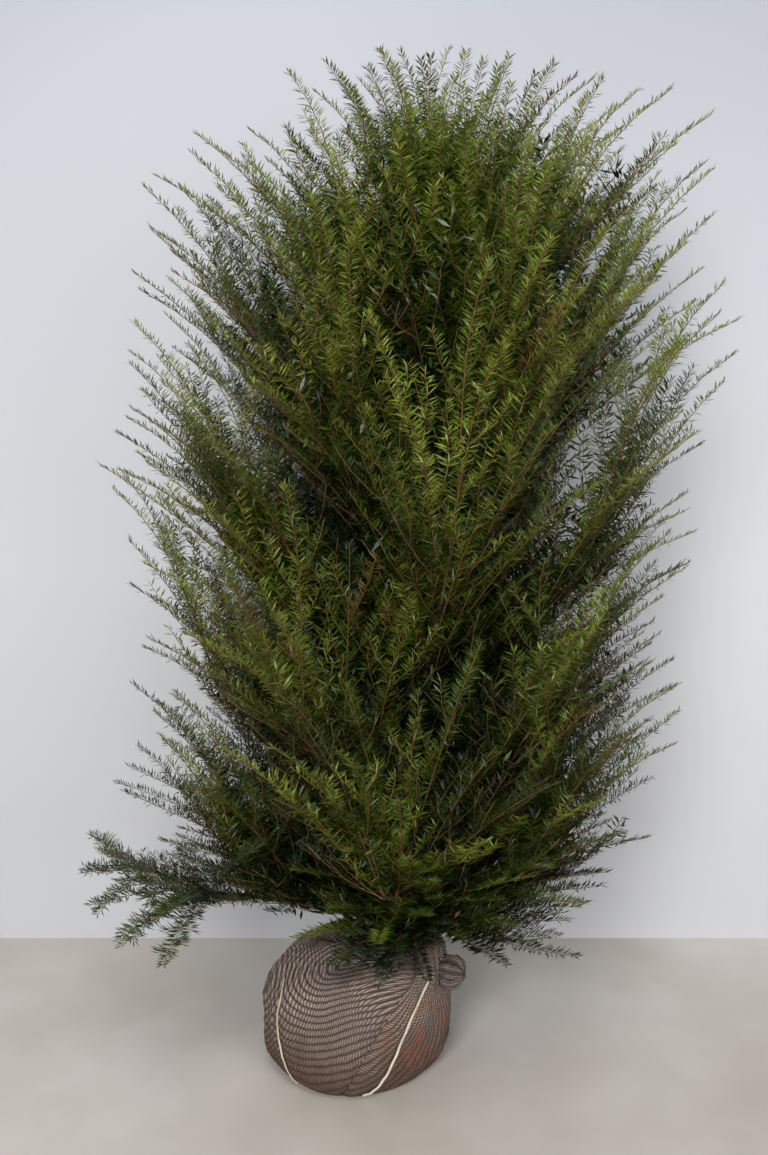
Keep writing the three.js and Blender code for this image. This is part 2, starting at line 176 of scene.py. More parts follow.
def between(tree, value, low, high):
    """The value stretched so that low becomes 0 and high becomes 1, and kept within them."""
    stretch = tree.nodes.new("ShaderNodeMapRange")
    stretch.inputs["From Min"].default_value = low
    stretch.inputs["From Max"].default_value = high
    tree.links.new(value, stretch.inputs["Value"])
    return stretch.outputs["Result"]


def object_coordinates(tree):
    """Each point's place on the piece itself."""
    return tree.nodes.new("ShaderNodeTexCoord").outputs["Object"]


def floor_material():
    """Pale sealed concrete, dusty in soft patches."""
    material, shader = new_material("sealed_floor", FLOOR_COLOUR, FLOOR_ROUGHNESS)
    tree = material.node_tree
    place = object_coordinates(tree)
    cloudy = patch_mask(tree, place, scale=1.6, detail=4.0, low=0.35, high=0.7)
    pale = tuple(channel * 1.05 for channel in FLOOR_COLOUR)
    colour = blend_colours(tree, cloudy, pale, FLOOR_DUSTY_COLOUR)
    tree.links.new(colour, shader.inputs["Base Color"])
    return material


def backdrop_material():
    """White sheeting, darkened towards its top by painted shade, that can be seen through from behind.
    """
    material, shader = new_material("white_sheeting", BACKDROP_COLOUR, BACKDROP_ROUGHNESS)
    tree = material.node_tree
    axes = tree.nodes.new("ShaderNodeSeparateXYZ")
    tree.links.new(object_coordinates(tree), axes.inputs["Vector"])
    # painted shade: the sheeting is darker towards its top
    upper = between(tree, axes.outputs["Z"], *BACKDROP_DARKENS)
    colour = blend_colours(tree, upper, BACKDROP_COLOUR, BACKDROP_PAINTED_SHADE_COLOUR)
    tree.links.new(colour, shader.inputs["Base Color"])
    clear = tree.nodes.new("ShaderNodeBsdfTransparent")
    facing = tree.nodes.new("ShaderNodeNewGeometry")
    choice = tree.nodes.new("ShaderNodeMixShader")
    tree.links.new(facing.outputs["Backfacing"], choice.inputs["Fac"])
    tree.links.new(shader.outputs["BSDF"], choice.inputs[1])
    tree.links.new(clear.outputs["BSDF"], choice.inputs[2])
    tree.links.new(choice.outputs["Shader"], tree.nodes["Material Output"].inputs["Surface"])
    return material


def floor_and_backdrop():
    """The floor, and the sheeting that hangs down to it behind the plant."""
    ground = bmesh.new()
    bmesh.ops.create_grid(ground, x_segments=1, y_segments=1, size=FLOOR_SIZE / 2)
    floor = add_object("floor", ground, floor_material())
    sheet = bmesh.new()
    bmesh.ops.create_grid(sheet, x_segments=1, y_segments=1, size=0.5)
    back = cad_box[1].y + BACKDROP_BEHIND
    for corner in sheet.verts:
        across, up = corner.co.x, corner.co.y + 0.5
        corner.co = (across * BACKDROP_WIDTH, back, up * BACKDROP_HEIGHT)
    backdrop = add_object("backdrop", sheet, backdrop_material())


def add_lamp(name, place, size, watts):
    """A square soft lamp that looks at the middle of the plant."""
    light = bpy.data.lights.new(name, "AREA")
    light.size = size
    light.energy = watts
    lamp = bpy.data.objects.new(name, light)
    aim = np.array(LAMP_AIM) - np.array(place)
    lamp.location = place
    lamp.rotation_euler = (
        math.acos(-aim[2] / np.linalg.norm(aim)),
        0.0,
        math.atan2(aim[1], aim[0]) - math.pi / 2,
    )
    bpy.context.scene.collection.objects.link(lamp)


def add_sky():
    """A weak even light from all round."""
    world = bpy.data.worlds.new("studio")
    world.use_nodes = True
    background = world.node_tree.nodes["Background"]
    background.inputs["Color"].default_value = (*SKY_COLOUR, 1.0)
    background.inputs["Strength"].default_value = SKY_STRENGTH
    bpy.context.scene.world = world


floor_and_backdrop()
add_sky()
for lamp_name, lamp_values in LAMPS.items():
    add_lamp(lamp_name, **lamp_values)
bpy.context.scene.view_settings.view_transform = "Standard"

# ---- Root ball ----
# A ball of soil lifted with the roots, and tied up in a sack of knitted jute cords.  On the
# left the cords run in nested curves round a dent, and on the right they fan out from where
# the sack is gathered beside the stem.  Its underside is flat, and the low part is soiled.
BALL_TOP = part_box("root_ball")[1].z
BALL_BELLY = 0.095
BALL_RADIUS = 0.206
BALL_FOOT_RADIUS = 0.166
BALL_NECK_RADIUS = 0.058
BALL_NECK = (0.115, -0.075)
BALL_OVAL = 0.018
BALL_OVAL_TURN = 0.8
BALL_LUMPS = 0.012
BALL_LUMP_TWIST = 0.07
BALL_ROUNDS = 548
BALL_RINGS = 172
BALL_FOOT_SHARE = 0.09  # share of the rings that lie under the ball
BALL_NECK_SHARE = 0.94  # and the share below the flat top
CORD_PITCH = 0.0105
CORD_HEIGHT = 0.0024
DENT = np.array((-0.050, -0.135, 0.292))
GATHER = np.array((0.140, -0.128, 0.290))
GATHER_PULL = 0.45  # how strongly the nested cords draw together near the gather
DENT_TO_GATHER = np.linalg.norm(GATHER - DENT)
FAN_CORDS = 13.0  # cords in each radian of the fan
FAN_CURVE = 2.4  # how much the fanned cords bend, in radians for each metre
CORD_WANDER = 0.3
CREASE_TURNS = (262.0, 312.0)  # where the nested cords meet the fan, at the foot and the top
FAN_END = 62.0
CREASE_DEPTH = 0.006
CREASE_WIDTH = 0.012
NECK_FOLDS = 15
NECK_FOLD_DEPTH = 0.007
NECK_FOLD_REACH = 0.055
TIE_PRESS = 0.0035
TIE_PRESS_WIDTH = 0.007
TIE_NODES = ("tie_front_left", "tie_front_right", "tie_back_right", "tie_back_left")
TIE_CORNERS = 4
TIE_STEPS = 48
LUMP_HEIGHT = 0.0035
LUMP_SPACING = 0.22
PUCKER_HEIGHT = 0.0012
PUCKER_SPACING = 0.05
DENT_DEPTH = 0.012
DENT_WIDTH = 0.024
JUTE_STITCH = 0.0062  # length of one twist of a cord
# Painted light among these: the dark colour of the grooves and the last one are painted shade, the pale
# colour of the twists is a painted highlight, and the near-black colour over the ball's top is painted
# shadow of the crown.
JUTE_COLOURS = {
    "groove_shade": (0.032, 0.022, 0.016),
    "cord": (0.135, 0.098, 0.080),
    "twist_highlight": (0.60, 0.49, 0.41),
    "grey": (0.12, 0.09, 0.095),
    "soil": (0.080, 0.044, 0.028),
    "crown_shadow": (0.030, 0.020, 0.014),
    "rust": (0.27, 0.075, 0.035),
    "shade": (0.022, 0.014, 0.009),
}
RUST_PLACE = (0.145, -0.150, 0.13)


def unit(vectors):
    """Each row of an array, or one vector, at a length of one."""
    return vectors / np.maximum(np.linalg.norm(vectors, axis=-1, keepdims=True), 1e-9)


def corners_of(node):
    """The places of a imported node's corners, each once."""
    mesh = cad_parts[node].data
    places = np.zeros(len(mesh.vertices) * 3, np.float32)
    mesh.vertices.foreach_get("co", places)
    return np.unique(places.reshape(-1, 3).round(5), axis=0).astype(float)


def ball_place(turn, height):
    """Places on the smooth ball, whose rings shift towards the neck as they rise."""
    rise = np.clip((height - BALL_BELLY) / (BALL_TOP - BALL_BELLY), 0, 1) ** 3
    below = np.clip(1 - height / BALL_BELLY, 0, 1)
    bulge = np.sqrt(1 - below**2)
    radius = BALL_FOOT_RADIUS + (BALL_RADIUS - BALL_FOOT_RADIUS) * bulge
    radius += (BALL_NECK_RADIUS - BALL_RADIUS) * rise
    oval = BALL_OVAL * np.sin(2 * turn + BALL_OVAL_TURN)
    lumps = BALL_LUMPS * np.sin(3 * turn + height / BALL_LUMP_TWIST)
    radius *= 1 + oval + lumps
    return np.stack((
        BALL_NECK[0] * rise + radius * np.cos(turn),
        BALL_NECK[1] * rise + radius * np.sin(turn),
        height,
    ), axis=-1)


def ball_outward(turn, height):
    """The directions square to the smooth ball."""
    small = 1e-4
    low = np.clip(height, small, BALL_TOP - small)
    around = ball_place(turn + small, low) - ball_place(turn - small, low)
    upward = ball_place(turn, low + small) - ball_place(turn, low - small)
    return unit(np.cross(around, upward))


def soft_waves(places, seed, longest, count=14):
    """A smooth random value from about -1 to 1, with waves from the longest down to a third."""
    draw = np.random.default_rng(seed)
    total = np.zeros(len(places))
    for _ in range(count):
        direction = unit(draw.normal(size=3))
        wave = longest * draw.uniform(0.33, 1.0)
        total += np.sin(places @ direction * 2 * math.pi / wave + draw.uniform(0, 2 * math.pi))
    return total / math.sqrt(count)


def crease_turn(height):
    """Where the crease between the nested cords and the fan stands at a height, in radians."""
    foot, top = CREASE_TURNS
    return np.radians(foot + (top - foot) * np.clip(height / GATHER[2], 0, 1) ** 1.2)


def cord_fields(places, turn):
    """The count of cords across the sack, the distance along them, and 1 in the fan."""
    fold = GATHER - DENT
    share = np.clip((places - DENT) @ fold / (fold @ fold), 0, 0.9)[:, None]
    from_dent = np.linalg.norm((places - DENT - fold * share), axis=1)
    from_gather = np.linalg.norm(places - GATHER, axis=1) + 0.004
    nested = from_dent * (DENT_TO_GATHER / from_gather) ** GATHER_PULL / CORD_PITCH
    aside = places[:, 0] - DENT[0]
    swing = np.arctan2(aside, -(places[:, 2] - DENT[2]) + 0.3 * (places[:, 1] - DENT[1]))
    away = places - GATHER
    tangent = unit(np.array((-GATHER[1], GATHER[0], 0.0)))
    spread = np.arctan2(away @ tangent, -away[:, 2])
    fanned = FAN_CORDS * (spread + FAN_CURVE * from_gather)
    after_crease = np.mod(turn - crease_turn(places[:, 2]), 2 * math.pi)
    span = np.mod(math.radians(FAN_END) - crease_turn(places[:, 2]), 2 * math.pi)
    in_fan = after_crease < span
    count = np.where(in_fan, fanned, nested) + CORD_WANDER * soft_waves(places, 7, 0.3)
    along = np.where(in_fan, from_gather, swing * from_dent)
    from_crease = np.minimum(after_crease, 2 * math.pi - after_crease)
    return count, along, from_crease * np.linalg.norm(places[:, :2], axis=1), in_fan


def tie_line(node):
    """The middles of a packed tie from its top to its foot, evenly filled in."""
    corners = corners_of(node)
    order = np.argsort(-corners[:, 2], kind="stable")
    rings = corners[order].reshape(-1, TIE_CORNERS, 3)
    middles = rings.mean(1)
    share = np.linspace(0, len(middles) - 1, TIE_STEPS)
    numbers = np.arange(len(middles))
    return np.stack([np.interp(share, numbers, middles[:, axis]) for axis in range(3)], axis=1)


tie_lines = {node: tie_line(node) for node in TIE_NODES}


def tie_closeness(places):
    """How near each place is to a tie, as 1 under it and 0 past the dent it presses."""
    nearest = np.full(len(places), 1.0)
    for line in tie_lines.values():
        for middle in line:
            nearest = np.minimum(nearest, np.linalg.norm(places - middle, axis=1))
    return np.exp(-((nearest / TIE_PRESS_WIDTH) ** 2))


def store_cords(mesh, count, along, dark):
    """The cords' count, the distance along them and their shade, kept on a mesh's corners."""
    for name, values in (("cord_count", count), ("cord_along", along), ("cord_dark", dark)):
        attribute = mesh.attributes.new(name, "FLOAT", "POINT")
        attribute.data.foreach_set("value", values.astype(np.float32))


def sack_mesh():
    """The sack's closed skin, its cords raised and its neck drawn into folds."""
    skin = bmesh.new()
    bmesh.ops.create_grid(skin, x_segments=BALL_ROUNDS, y_segments=BALL_RINGS, size=0.5)
    mesh = bpy.data.meshes.new("sack")
    skin.to_mesh(mesh)
    skin.free()
    flat = np.zeros(len(mesh.vertices) * 3, np.float32)
    mesh.vertices.foreach_get("co", flat)
    flat = flat.reshape(-1, 3).astype(float)
    turn = (flat[:, 0] + 0.5) * 2 * math.pi
    level = flat[:, 1] + 0.5
    side = np.clip((level - BALL_FOOT_SHARE) / (BALL_NECK_SHARE - BALL_FOOT_SHARE), 0, 1)
    height = BALL_TOP * (0.5 - 0.5 * np.cos(math.pi * (0.12 + 0.78 * side)))
    height = (height - height.min()) / (height.max() - height.min()) * BALL_TOP
    places = ball_place(turn, height)
    outward = ball_outward(turn, height)
    count, along, from_crease, in_fan = cord_fields(places, turn)
    crest = 1 - np.abs(2 * np.mod(count, 1) - 1) ** 2.2
    under_foot = np.clip(level / BALL_FOOT_SHARE, 0, 1)
    over_neck = np.clip((1 - level) / (1 - BALL_NECK_SHARE), 0, 1)
    on_side = np.clip(height / 0.02, 0, 1)
    push = CORD_HEIGHT * (crest - 0.6) * on_side
    push += LUMP_HEIGHT * soft_waves(places, 3, LUMP_SPACING) * on_side
    push += PUCKER_HEIGHT * soft_waves(places, 5, PUCKER_SPACING) * on_side
    push -= CREASE_DEPTH * np.exp(-((from_crease / CREASE_WIDTH) ** 2)) * on_side
    from_neck = places[:, :2] - BALL_NECK
    around_neck = np.arctan2(from_neck[:, 1], from_neck[:, 0])
    neck_distance = np.clip(np.linalg.norm(from_neck, axis=1) - BALL_NECK_RADIUS, 0, 1)
    gathered = np.exp(-neck_distance / NECK_FOLD_REACH) * np.clip((height - 0.2) / 0.06, 0, 1)
    folds = np.sin(NECK_FOLDS * around_neck + 2.0 * np.sin(2 * around_neck + 0.6))
    push += NECK_FOLD_DEPTH * folds * gathered
    dented = np.exp(-((np.linalg.norm(places - DENT, axis=1) / DENT_WIDTH) ** 2))
    push -= DENT_DEPTH * dented
    press = tie_closeness(places)
    push = push * (1 - 0.7 * press) - TIE_PRESS * press
    places += outward * push[:, None]
    middle = np.where(level < 0.5, 0.0, 1.0)
    inward = np.minimum(under_foot, over_neck)
    centre = np.stack((BALL_NECK[0] * middle, BALL_NECK[1] * middle), axis=1)
    places[:, :2] = centre + (places[:, :2] - centre) * inward[:, None]
    places[:, 2] = np.clip(places[:, 2], 0, BALL_TOP)
    mesh.vertices.foreach_set("co", places.astype(np.float32).ravel())
    # painted shade in the dent and along the ties
    store_cords(mesh, count, along, np.maximum(dented, 0.6 * press))
    skin = bmesh.new()
    skin.from_mesh(mesh)
    bmesh.ops.remove_doubles(skin, verts=skin.verts, dist=1e-5)
    bmesh.ops.recalc_face_normals(skin, faces=skin.faces)
    return skin


def noise_node(tree, source, scale, detail):
    """A noise texture on object coordinates, and its value output."""
    noise = tree.nodes.new("ShaderNodeTexNoise")
    noise.inputs["Scale"].default_value = scale
    noise.inputs["Detail"].default_value = detail
    noise.inputs["Roughness"].default_value = NOISE_ROUGHNESS
    tree.links.new(source, noise.inputs["Vector"])
    return noise.outputs["Fac"]


def math_node(tree, operation, first, second=0.0):
    """A sum, product or other function of two values, each a number or another node's output."""
    node = tree.nodes.new("ShaderNodeMath")
    node.operation = operation
    for socket, value in zip(node.inputs, (first, second)):
        if isinstance(value, (int, float)):
            socket.default_value = value
        else:
            tree.links.new(value, socket)
    return node.outputs[0]


def product(tree, first, second):
    """Two values multiplied."""
    return math_node(tree, "MULTIPLY", first, second)


def attribute_value(tree, name):
    """A value kept on the mesh's corners."""
    node = tree.nodes.new("ShaderNodeAttribute")
    node.attribute_name = name
    return node.outputs["Fac"]


def cord_pattern(tree, place):
    """How near the crest of its cord a place is, how far up a twist, and how much fibre shows."""
    across = math_node(tree, "FRACT", attribute_value(tree, "cord_count"))
    off_middle = math_node(tree, "ABSOLUTE", math_node(tree, "SUBTRACT", across, 0.5))
    valley = math_node(tree, "POWER", product(tree, off_middle, 2.0), 2.0)
    crest = math_node(tree, "SUBTRACT", 1.0, valley)
    wobble = product(tree, noise_node(tree, place, 60.0, 2.0), 2.5)
    turns = product(tree, attribute_value(tree, "cord_along"), 2 * math.pi / JUTE_STITCH)
    slant = product(tree, across, 4.5)
    twist = math_node(tree, "ADD", math_node(tree, "ADD", turns, wobble), slant)
    stitch = between(tree, math_node(tree, "SINE", twist), -0.7, 0.9)
    return crest, stitch, noise_node(tree, place, 420.0, 3.0)


def stain(tree, colour, mask, strength, kind):
    """A colour with one of the jute's other colours laid over it where a mask is 1."""
    return blend_colours(tree, product(tree, mask, strength), colour, JUTE_COLOURS[kind])


def jute_material():
    """Twisted grey brown cords, soiled low down and rusty red in places, with painted shade in the
    grooves between them, in the dent, along the ties and in folds, painted highlights on their twists,
    and a painted shadow of the crown over the top.
    """
    material, shader = new_material("knitted_jute", (0.2, 0.15, 0.12), 0.95)
    shader.inputs["Specular IOR Level"].default_value = 0.15
    tree = material.node_tree
    place = object_coordinates(tree)
    crest, stitch, fibre = cord_pattern(tree, place)
    # painted shade: the grooves between the cords are dark
    on_cord = between(tree, crest, 0.1, 0.75)
    body = blend_colours(tree, on_cord, JUTE_COLOURS["groove_shade"], JUTE_COLOURS["cord"])
    # painted highlight: pale flecks on the raised crests of the twists, broken up by the fibre
    twist_highlight = product(tree, product(tree, stitch, crest), between(tree, fibre, 0.3, 0.62))
    colour = blend_colours(tree, twist_highlight, body, JUTE_COLOURS["twist_highlight"])
    greyed = patch_mask(tree, place, scale=9.0, detail=4.0, low=0.45, high=0.62)
    colour = stain(tree, colour, greyed, 0.35, "grey")
    axes = tree.nodes.new("ShaderNodeSeparateXYZ")
    tree.links.new(place, axes.inputs["Vector"])
    uneven = product(tree, noise_node(tree, place, 16.0, 5.0), 0.13)
    height = math_node(tree, "ADD", axes.outputs["Z"], uneven)
    colour = stain(tree, colour, between(tree, height, 0.25, 0.10), 0.82, "soil")
    # painted shadow of the crown: the top of the ball is darkened
    colour = stain(tree, colour, between(tree, height, 0.325, 0.375), 0.92, "crown_shadow")
    red_area = tree.nodes.new("ShaderNodeVectorMath")
    red_area.operation = "DISTANCE"
    red_area.inputs[1].default_value = RUST_PLACE
    tree.links.new(place, red_area.inputs[0])
    near_red = between(tree, red_area.outputs["Value"], 0.11, 0.05)
    speckled = patch_mask(tree, place, scale=34.0, detail=4.0, low=0.5, high=0.64)
    colour = stain(tree, colour, product(tree, near_red, speckled), 0.6, "rust")
    colour = stain(tree, colour, attribute_value(tree, "cord_dark"), 0.8, "shade")
    tree.links.new(colour, shader.inputs["Base Color"])
    raised = product(tree, crest, math_node(tree, "ADD", product(tree, stitch, 0.6), 0.4))
    relief = tree.nodes.new("ShaderNodeBump")
    relief.inputs["Distance"].default_value = 0.0022
    relief.inputs["Strength"].default_value = 0.9
    tree.links.new(math_node(tree, "ADD", raised, product(tree, fibre, 0.4)), relief.inputs["Height"])
    tree.links.new(relief.outputs["Normal"], shader.inputs["Normal"])
    return material


jute = jute_material()
sack = add_object("jute_sack", sack_mesh(), jute)
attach(sack, "root")
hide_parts("root_ball")

# ---- Gathered end of the sack ----
# The spare end of the sack, pulled out into a small ear on the right of the stem and bunched
# by its own cords, so that deep folds run out from where it is held to its frayed rim.
EAR_ROUNDS = 96
EAR_RINGS = 44
EAR_FOLDS = 9
EAR_FOLD_DEPTH = 0.16
EAR_FILL = (0.88, 0.88, 0.92)  # share of its room that it fills, out, across and up
EAR_CORDS = 7.0  # cords in each radian round it
UP = np.array((0.0, 0.0, 1.0))


def ear_mesh():
    """A squashed ball of cloth whose folds run out from the gather."""
    low, high = (np.array(corner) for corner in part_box("jute_knot"))
    middle, half = (low + high) / 2, (high - low) / 2
    outward = unit(np.array((middle[0], middle[1], 0.0)))
    aside = np.array((-outward[1], outward[0], 0.0))
    cloth = bmesh.new()
    bmesh.ops.create_uvsphere(cloth, u_segments=EAR_ROUNDS, v_segments=EAR_RINGS, radius=1.0)
    mesh = bpy.data.meshes.new("ear")
    cloth.to_mesh(mesh)
    cloth.free()
    round_places = np.zeros(len(mesh.vertices) * 3, np.float32)
    mesh.vertices.foreach_get("co", round_places)
    ball = round_places.reshape(-1, 3).astype(float)
    turn = np.arctan2(ball[:, 1], ball[:, 0])
    ringed = np.sqrt(np.clip(1 - ball[:, 2] ** 2, 0, 1))
    folds = np.sin(EAR_FOLDS * turn + 1.3 * np.sin(2 * turn)) * ringed
    ball *= (1 + EAR_FOLD_DEPTH * folds * (0.4 + 0.6 * (ball[:, 2] + 1) / 2))[:, None]
    ball += 0.05 * soft_waves(ball, 8, 1.2)[:, None] * ball
    reach = EAR_FILL * half
    places = (
        middle
        + ball[:, 2:3] * outward * reach[0]
        + ball[:, 0:1] * aside * reach[1]
        + ball[:, 1:2] * UP * reach[2]
    )
    mesh.vertices.foreach_set("co", places.astype(np.float32).ravel())
    count = turn * EAR_CORDS
    along = ball[:, 2] * 0.04
    # painted shade in the hollows of the folds
    dark = np.clip(-folds, 0, 1) * 0.9
    store_cords(mesh, count, along, dark)
    cloth = bmesh.new()
    cloth.from_mesh(mesh)
    bmesh.ops.recalc_face_normals(cloth, faces=cloth.faces)
    return cloth


ear = add_object("sack_ear", ear_mesh(), jute)
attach(ear, "root")
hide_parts("jute_knot")

# ---- Ties ----
# Four flat tapes of pale woven cotton.  Each comes out of the folds at the neck, presses into
# the sack and goes under the foot.
TIE_HALF_WIDTH = 0.0031
TIE_HALF_THICKNESS = 0.0011
TIE_SIDES = 10
TIE_SUNK = 0.0012
TIE_WANDER = 0.0006


def tape_mesh(line):
    """A flat tape with round edges that lies on the ball along a line."""
    ahead = unit(np.gradient(line, axis=0))
    axis = np.stack((
        BALL_NECK[0] * np.clip(line[:, 2] / BALL_TOP, 0, 1) ** 3,
        BALL_NECK[1] * np.clip(line[:, 2] / BALL_TOP, 0, 1) ** 3,
        line[:, 2] * 0.6 + 0.04,
    ), axis=1)
    outward = unit(line - axis)
    across = unit(np.cross(ahead, outward))
    outward = np.cross(across, ahead)
    turns = np.arange(TIE_SIDES) / TIE_SIDES * 2 * math.pi
    wide = np.sign(np.cos(turns)) * np.abs(np.cos(turns)) ** 0.6 * TIE_HALF_WIDTH
    thick = np.sign(np.sin(turns)) * np.abs(np.sin(turns)) ** 0.8 * TIE_HALF_THICKNESS
    wander = TIE_WANDER * np.sin(np.arange(len(line)) * 0.9)
    rings = (
        line[:, None]
        + across[:, None] * (wide[None, :, None] + wander[:, None, None])
        + outward[:, None] * (thick - TIE_SUNK)[None, :, None]
    )
    tape = bmesh.new()
    corners = [[tape.verts.new(place) for place in ring] for ring in rings]
    for ring, following in zip(corners, corners[1:]):
        for side in range(TIE_SIDES):
            beside = (side + 1) % TIE_SIDES
            tape.faces.new((ring[side], ring[beside], following[beside], following[side]))
    tape.faces.new(corners[0])
    tape.faces.new(corners[-1])
    bmesh.ops.recalc_face_normals(tape, faces=tape.faces)
    return tape


def cotton_material():
    """Pale cotton with a fine weave, grubby in patches."""
    material, shader = new_material("woven_cotton", (0.72, 0.64, 0.50), 0.85)
    tree = material.node_tree
    place = object_coordinates(tree)
    weave = noise_node(tree, place, 700.0, 2.0)
    grubby = patch_mask(tree, place, scale=24.0, detail=4.0, low=0.42, high=0.72)
    clean = blend_colours(tree, between(tree, weave, 0.35, 0.6), (0.56, 0.49, 0.37), (0.82, 0.75, 0.62))
    colour = blend_colours(tree, product(tree, grubby, 0.6), clean, (0.38, 0.28, 0.19))
    tree.links.new(colour, shader.inputs["Base Color"])
    relief = tree.nodes.new("ShaderNodeBump")
    relief.inputs["Distance"].default_value = 0.0006
    tree.links.new(weave, relief.inputs["Height"])
    tree.links.new(relief.outputs["Normal"], shader.inputs["Normal"])
    return material


cotton = cotton_material()
for tie_node, line in tie_lines.items():
    tape = add_object(tie_node.replace("tie_", "tape_"), tape_mesh(line), cotton)
    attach(tape, "root")
    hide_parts(tie_node)

# ---- Growth ----
# One leaning stem stands in the neck of the ball, with short boughs in tiers round it, and
# each bough runs on into its plume as a limb.  Long shoots rise off all of these, steeper the
# higher they grow, nod outwards at their tips and bear side shoots, left and right in turn.
GROWTH_SEED = 20
BOUGH_RINGS = 2
BOUGH_SIDES = 7
BOUGH_SWELL = 1.25
LIMB_SHARE = 0.62  # how far out into its plume a limb runs
LIMB_STEPS = 8
LIMB_TIP_RADIUS = 0.0022
SHOOT_STEPS = 8
SHOOT_PULL = 0.36
# How many shoots each plume of a tier has besides those to its tips: outer ones that reach a
# share of the way to its face, and inner ones that fill it.
PLUME_SHOOTS = {
    "skirt": {"outer": 15, "outer_reach": (0.68, 0.88), "inner": 26},
    "low": {"outer": 15, "outer_reach": (0.85, 1.12), "inner": 30},
    "middle": {"outer": 15, "outer_reach": (0.88, 1.12), "inner": 30},
    "upper": {"outer": 13, "outer_reach": (0.88, 1.12), "inner": 24},
    "shoulder": {"outer": 8, "outer_reach": (0.8, 1.0), "inner": 12},
    "top": {"outer": 5, "outer_reach": (0.75, 0.95), "inner": 5},
    "leader": {"outer": 5, "outer_reach": (0.7, 0.95), "inner": 2},
}
INNER_REACH = (0.42, 0.95)
INNER_LIGHT = 0.85
LIGHT_LOW = 0.55  # the light value of a shoot at the foot of the crown, which picks its needles' tone as painted light and shade
LIGHT_GAIN = 0.3
LIGHT_VARIES = 0.17
SKIRT_REACH = (0.66, 0.92)  # the lowest shoots stop short of their plumes' tips
RISE_LEAST = math.radians(20)  # how steeply the shoots rise at the foot of the crown
RISE_MOST = math.radians(54)  # and at its top
RISE_VARIES = 0.12
RISE_FROM = 0.36  # the heights between which they grow steeper
RISE_FULL = 0.74
SHOOT_LENGTHS = (0.40, 0.62)
WOOD_SPACING = 0.01
ROOF_DROP = 0.12  # the crown falls away from the leader by this at once, and then on a slope
ROOF_SLOPE = 0.24
TALL_SHARE = 0.55  # share of the highest plumes' tips that stand above that slope
CROWN_HALF = np.array((0.64, 0.50))  # half the crown's width and depth
ARM = "foliage_skirt_left"
ARM_STEPS = 14
ARM_RADII = (0.0045, 0.0008)
ARM_LIGHT = 0.5
ARM_RISE = 0.35  # how steeply the arm leaves its bough, and how steeply it comes down at its end
ARM_DROOP = 0.45
ARM_END_BACK = 3  # how many steps behind its tip each shoot at the arm's end leaves the arm
ABOVE_ARM = 22  # shoots in the room above the arm, how far out along it and how high over it
ABOVE_ARM_REACH = (0.0, 0.5)
ABOVE_ARM_RISE = (0.03, 0.17)
HANGING = 14  # shoots that hang over the front of the ball, and where they end
HANGING_TURNS = (236.0, 290.0)
HANGING_HEIGHTS = (0.25, 0.35)
HANGING_CLEAR = 0.036
# How the shoots of each kind bear side shoots: how far apart, how long, how much of the tip
# goes bare, how strongly they turn up, and the needle grades of the inner and outer part.
SIDE_SHOOTS = {
    "outer": {"spacing": 0.05, "sizes": (0.04, 0.17), "bare_tip": 0.15, "lift": 1.0,
              "grades": ("middle", "face")},
    "inner": {"spacing": 0.085, "sizes": (0.04, 0.17), "bare_tip": 0.15, "lift": 1.0,
              "grades": ("middle", "behind")},
    "arm": {"spacing": 0.02, "sizes": (0.03, 0.065), "bare_tip": 0.08, "lift": 0.1,
            "grades": ("face", "face")},
    "arm_bough": {"spacing": 0.011, "sizes": (0.07, 0.15), "bare_tip": 0.0, "lift": 0.7,
                  "grades": ("face", "face")},
    "arm_end": {"spacing": 0.03, "sizes": (0.03, 0.05), "bare_tip": 0.03, "lift": 0.1,
                "grades": ("face", "face")},
    "hanging": {"spacing": 0.025, "sizes": (0.03, 0.07), "bare_tip": 0.03, "lift": 0.0,
                "grades": ("face", "face")},
    "core": {"spacing": 0.06, "sizes": (0.05, 0.1), "bare_tip": 0.03, "lift": 1.0,
             "grades": ("middle", "middle")},
}
SIDE_SHARE = (0.35, 0.7)  # how long a side shoot is, as a share of the shoot's length past it
SIDE_FORK = (34, 48)  # degrees between a side shoot and the shoot that bears it
SIDE_ROLL = (-25, 50)  # degrees that it leaves the shoot above level
SIDE_RISE = 0.55
SIDE_TIP_RADIUS = 0.0006
INNER_PART = 0.35  # the share of a shoot, from where it is leafy, that stands behind the crown's face
NEEDLED_REACH = 0.5
SHOOT_RADIUS = 0.0009
OLD_RADIUS = 0.0019
CORE_SPACING = 0.012
CORE_SIZES = (0.14, 0.24)
CORE_LIGHT = 0.2

rng = np.random.default_rng(GROWTH_SEED)
limbs = []
shoots = []
foliage_names = sorted(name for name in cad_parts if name.startswith("foliage_"))
bough_names = sorted(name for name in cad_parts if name.startswith("bough_"))


def triangles_of(node):
    """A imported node's triangles, as an array of three corner places each."""
    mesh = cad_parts[node].data
    mesh.calc_loop_triangles()
    numbers = np.zeros(len(mesh.loop_triangles) * 3, np.int32)
    mesh.loop_triangles.foreach_get("vertices", numbers)
    places = np.zeros(len(mesh.vertices) * 3, np.float32)
    mesh.vertices.foreach_get("co", places)
    return places.reshape(-1, 3)[numbers].reshape(-1, 3, 3).astype(float)


trunk_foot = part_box("trunk")[0].z
trunk_corners = corners_of("trunk")
plant_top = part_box("foliage_leader")[1].z
foot_centre = trunk_corners[trunk_corners[:, 2] < trunk_foot + 0.001].mean(0)
leader_corners = corners_of("foliage_leader")
leader_tip = leader_corners[leader_corners[:, 2] > plant_top - 0.001].mean(0)


def trunk_line(height):
    """The middle of the stem, and of the crown above it, at a height."""
    share = np.clip((height - trunk_foot) / (plant_top - trunk_foot), 0, 1)
    across = foot_centre[0] + (leader_tip[0] - foot_centre[0]) * share
    return np.array((across, foot_centre[1] * (1 - share) ** 3, height))


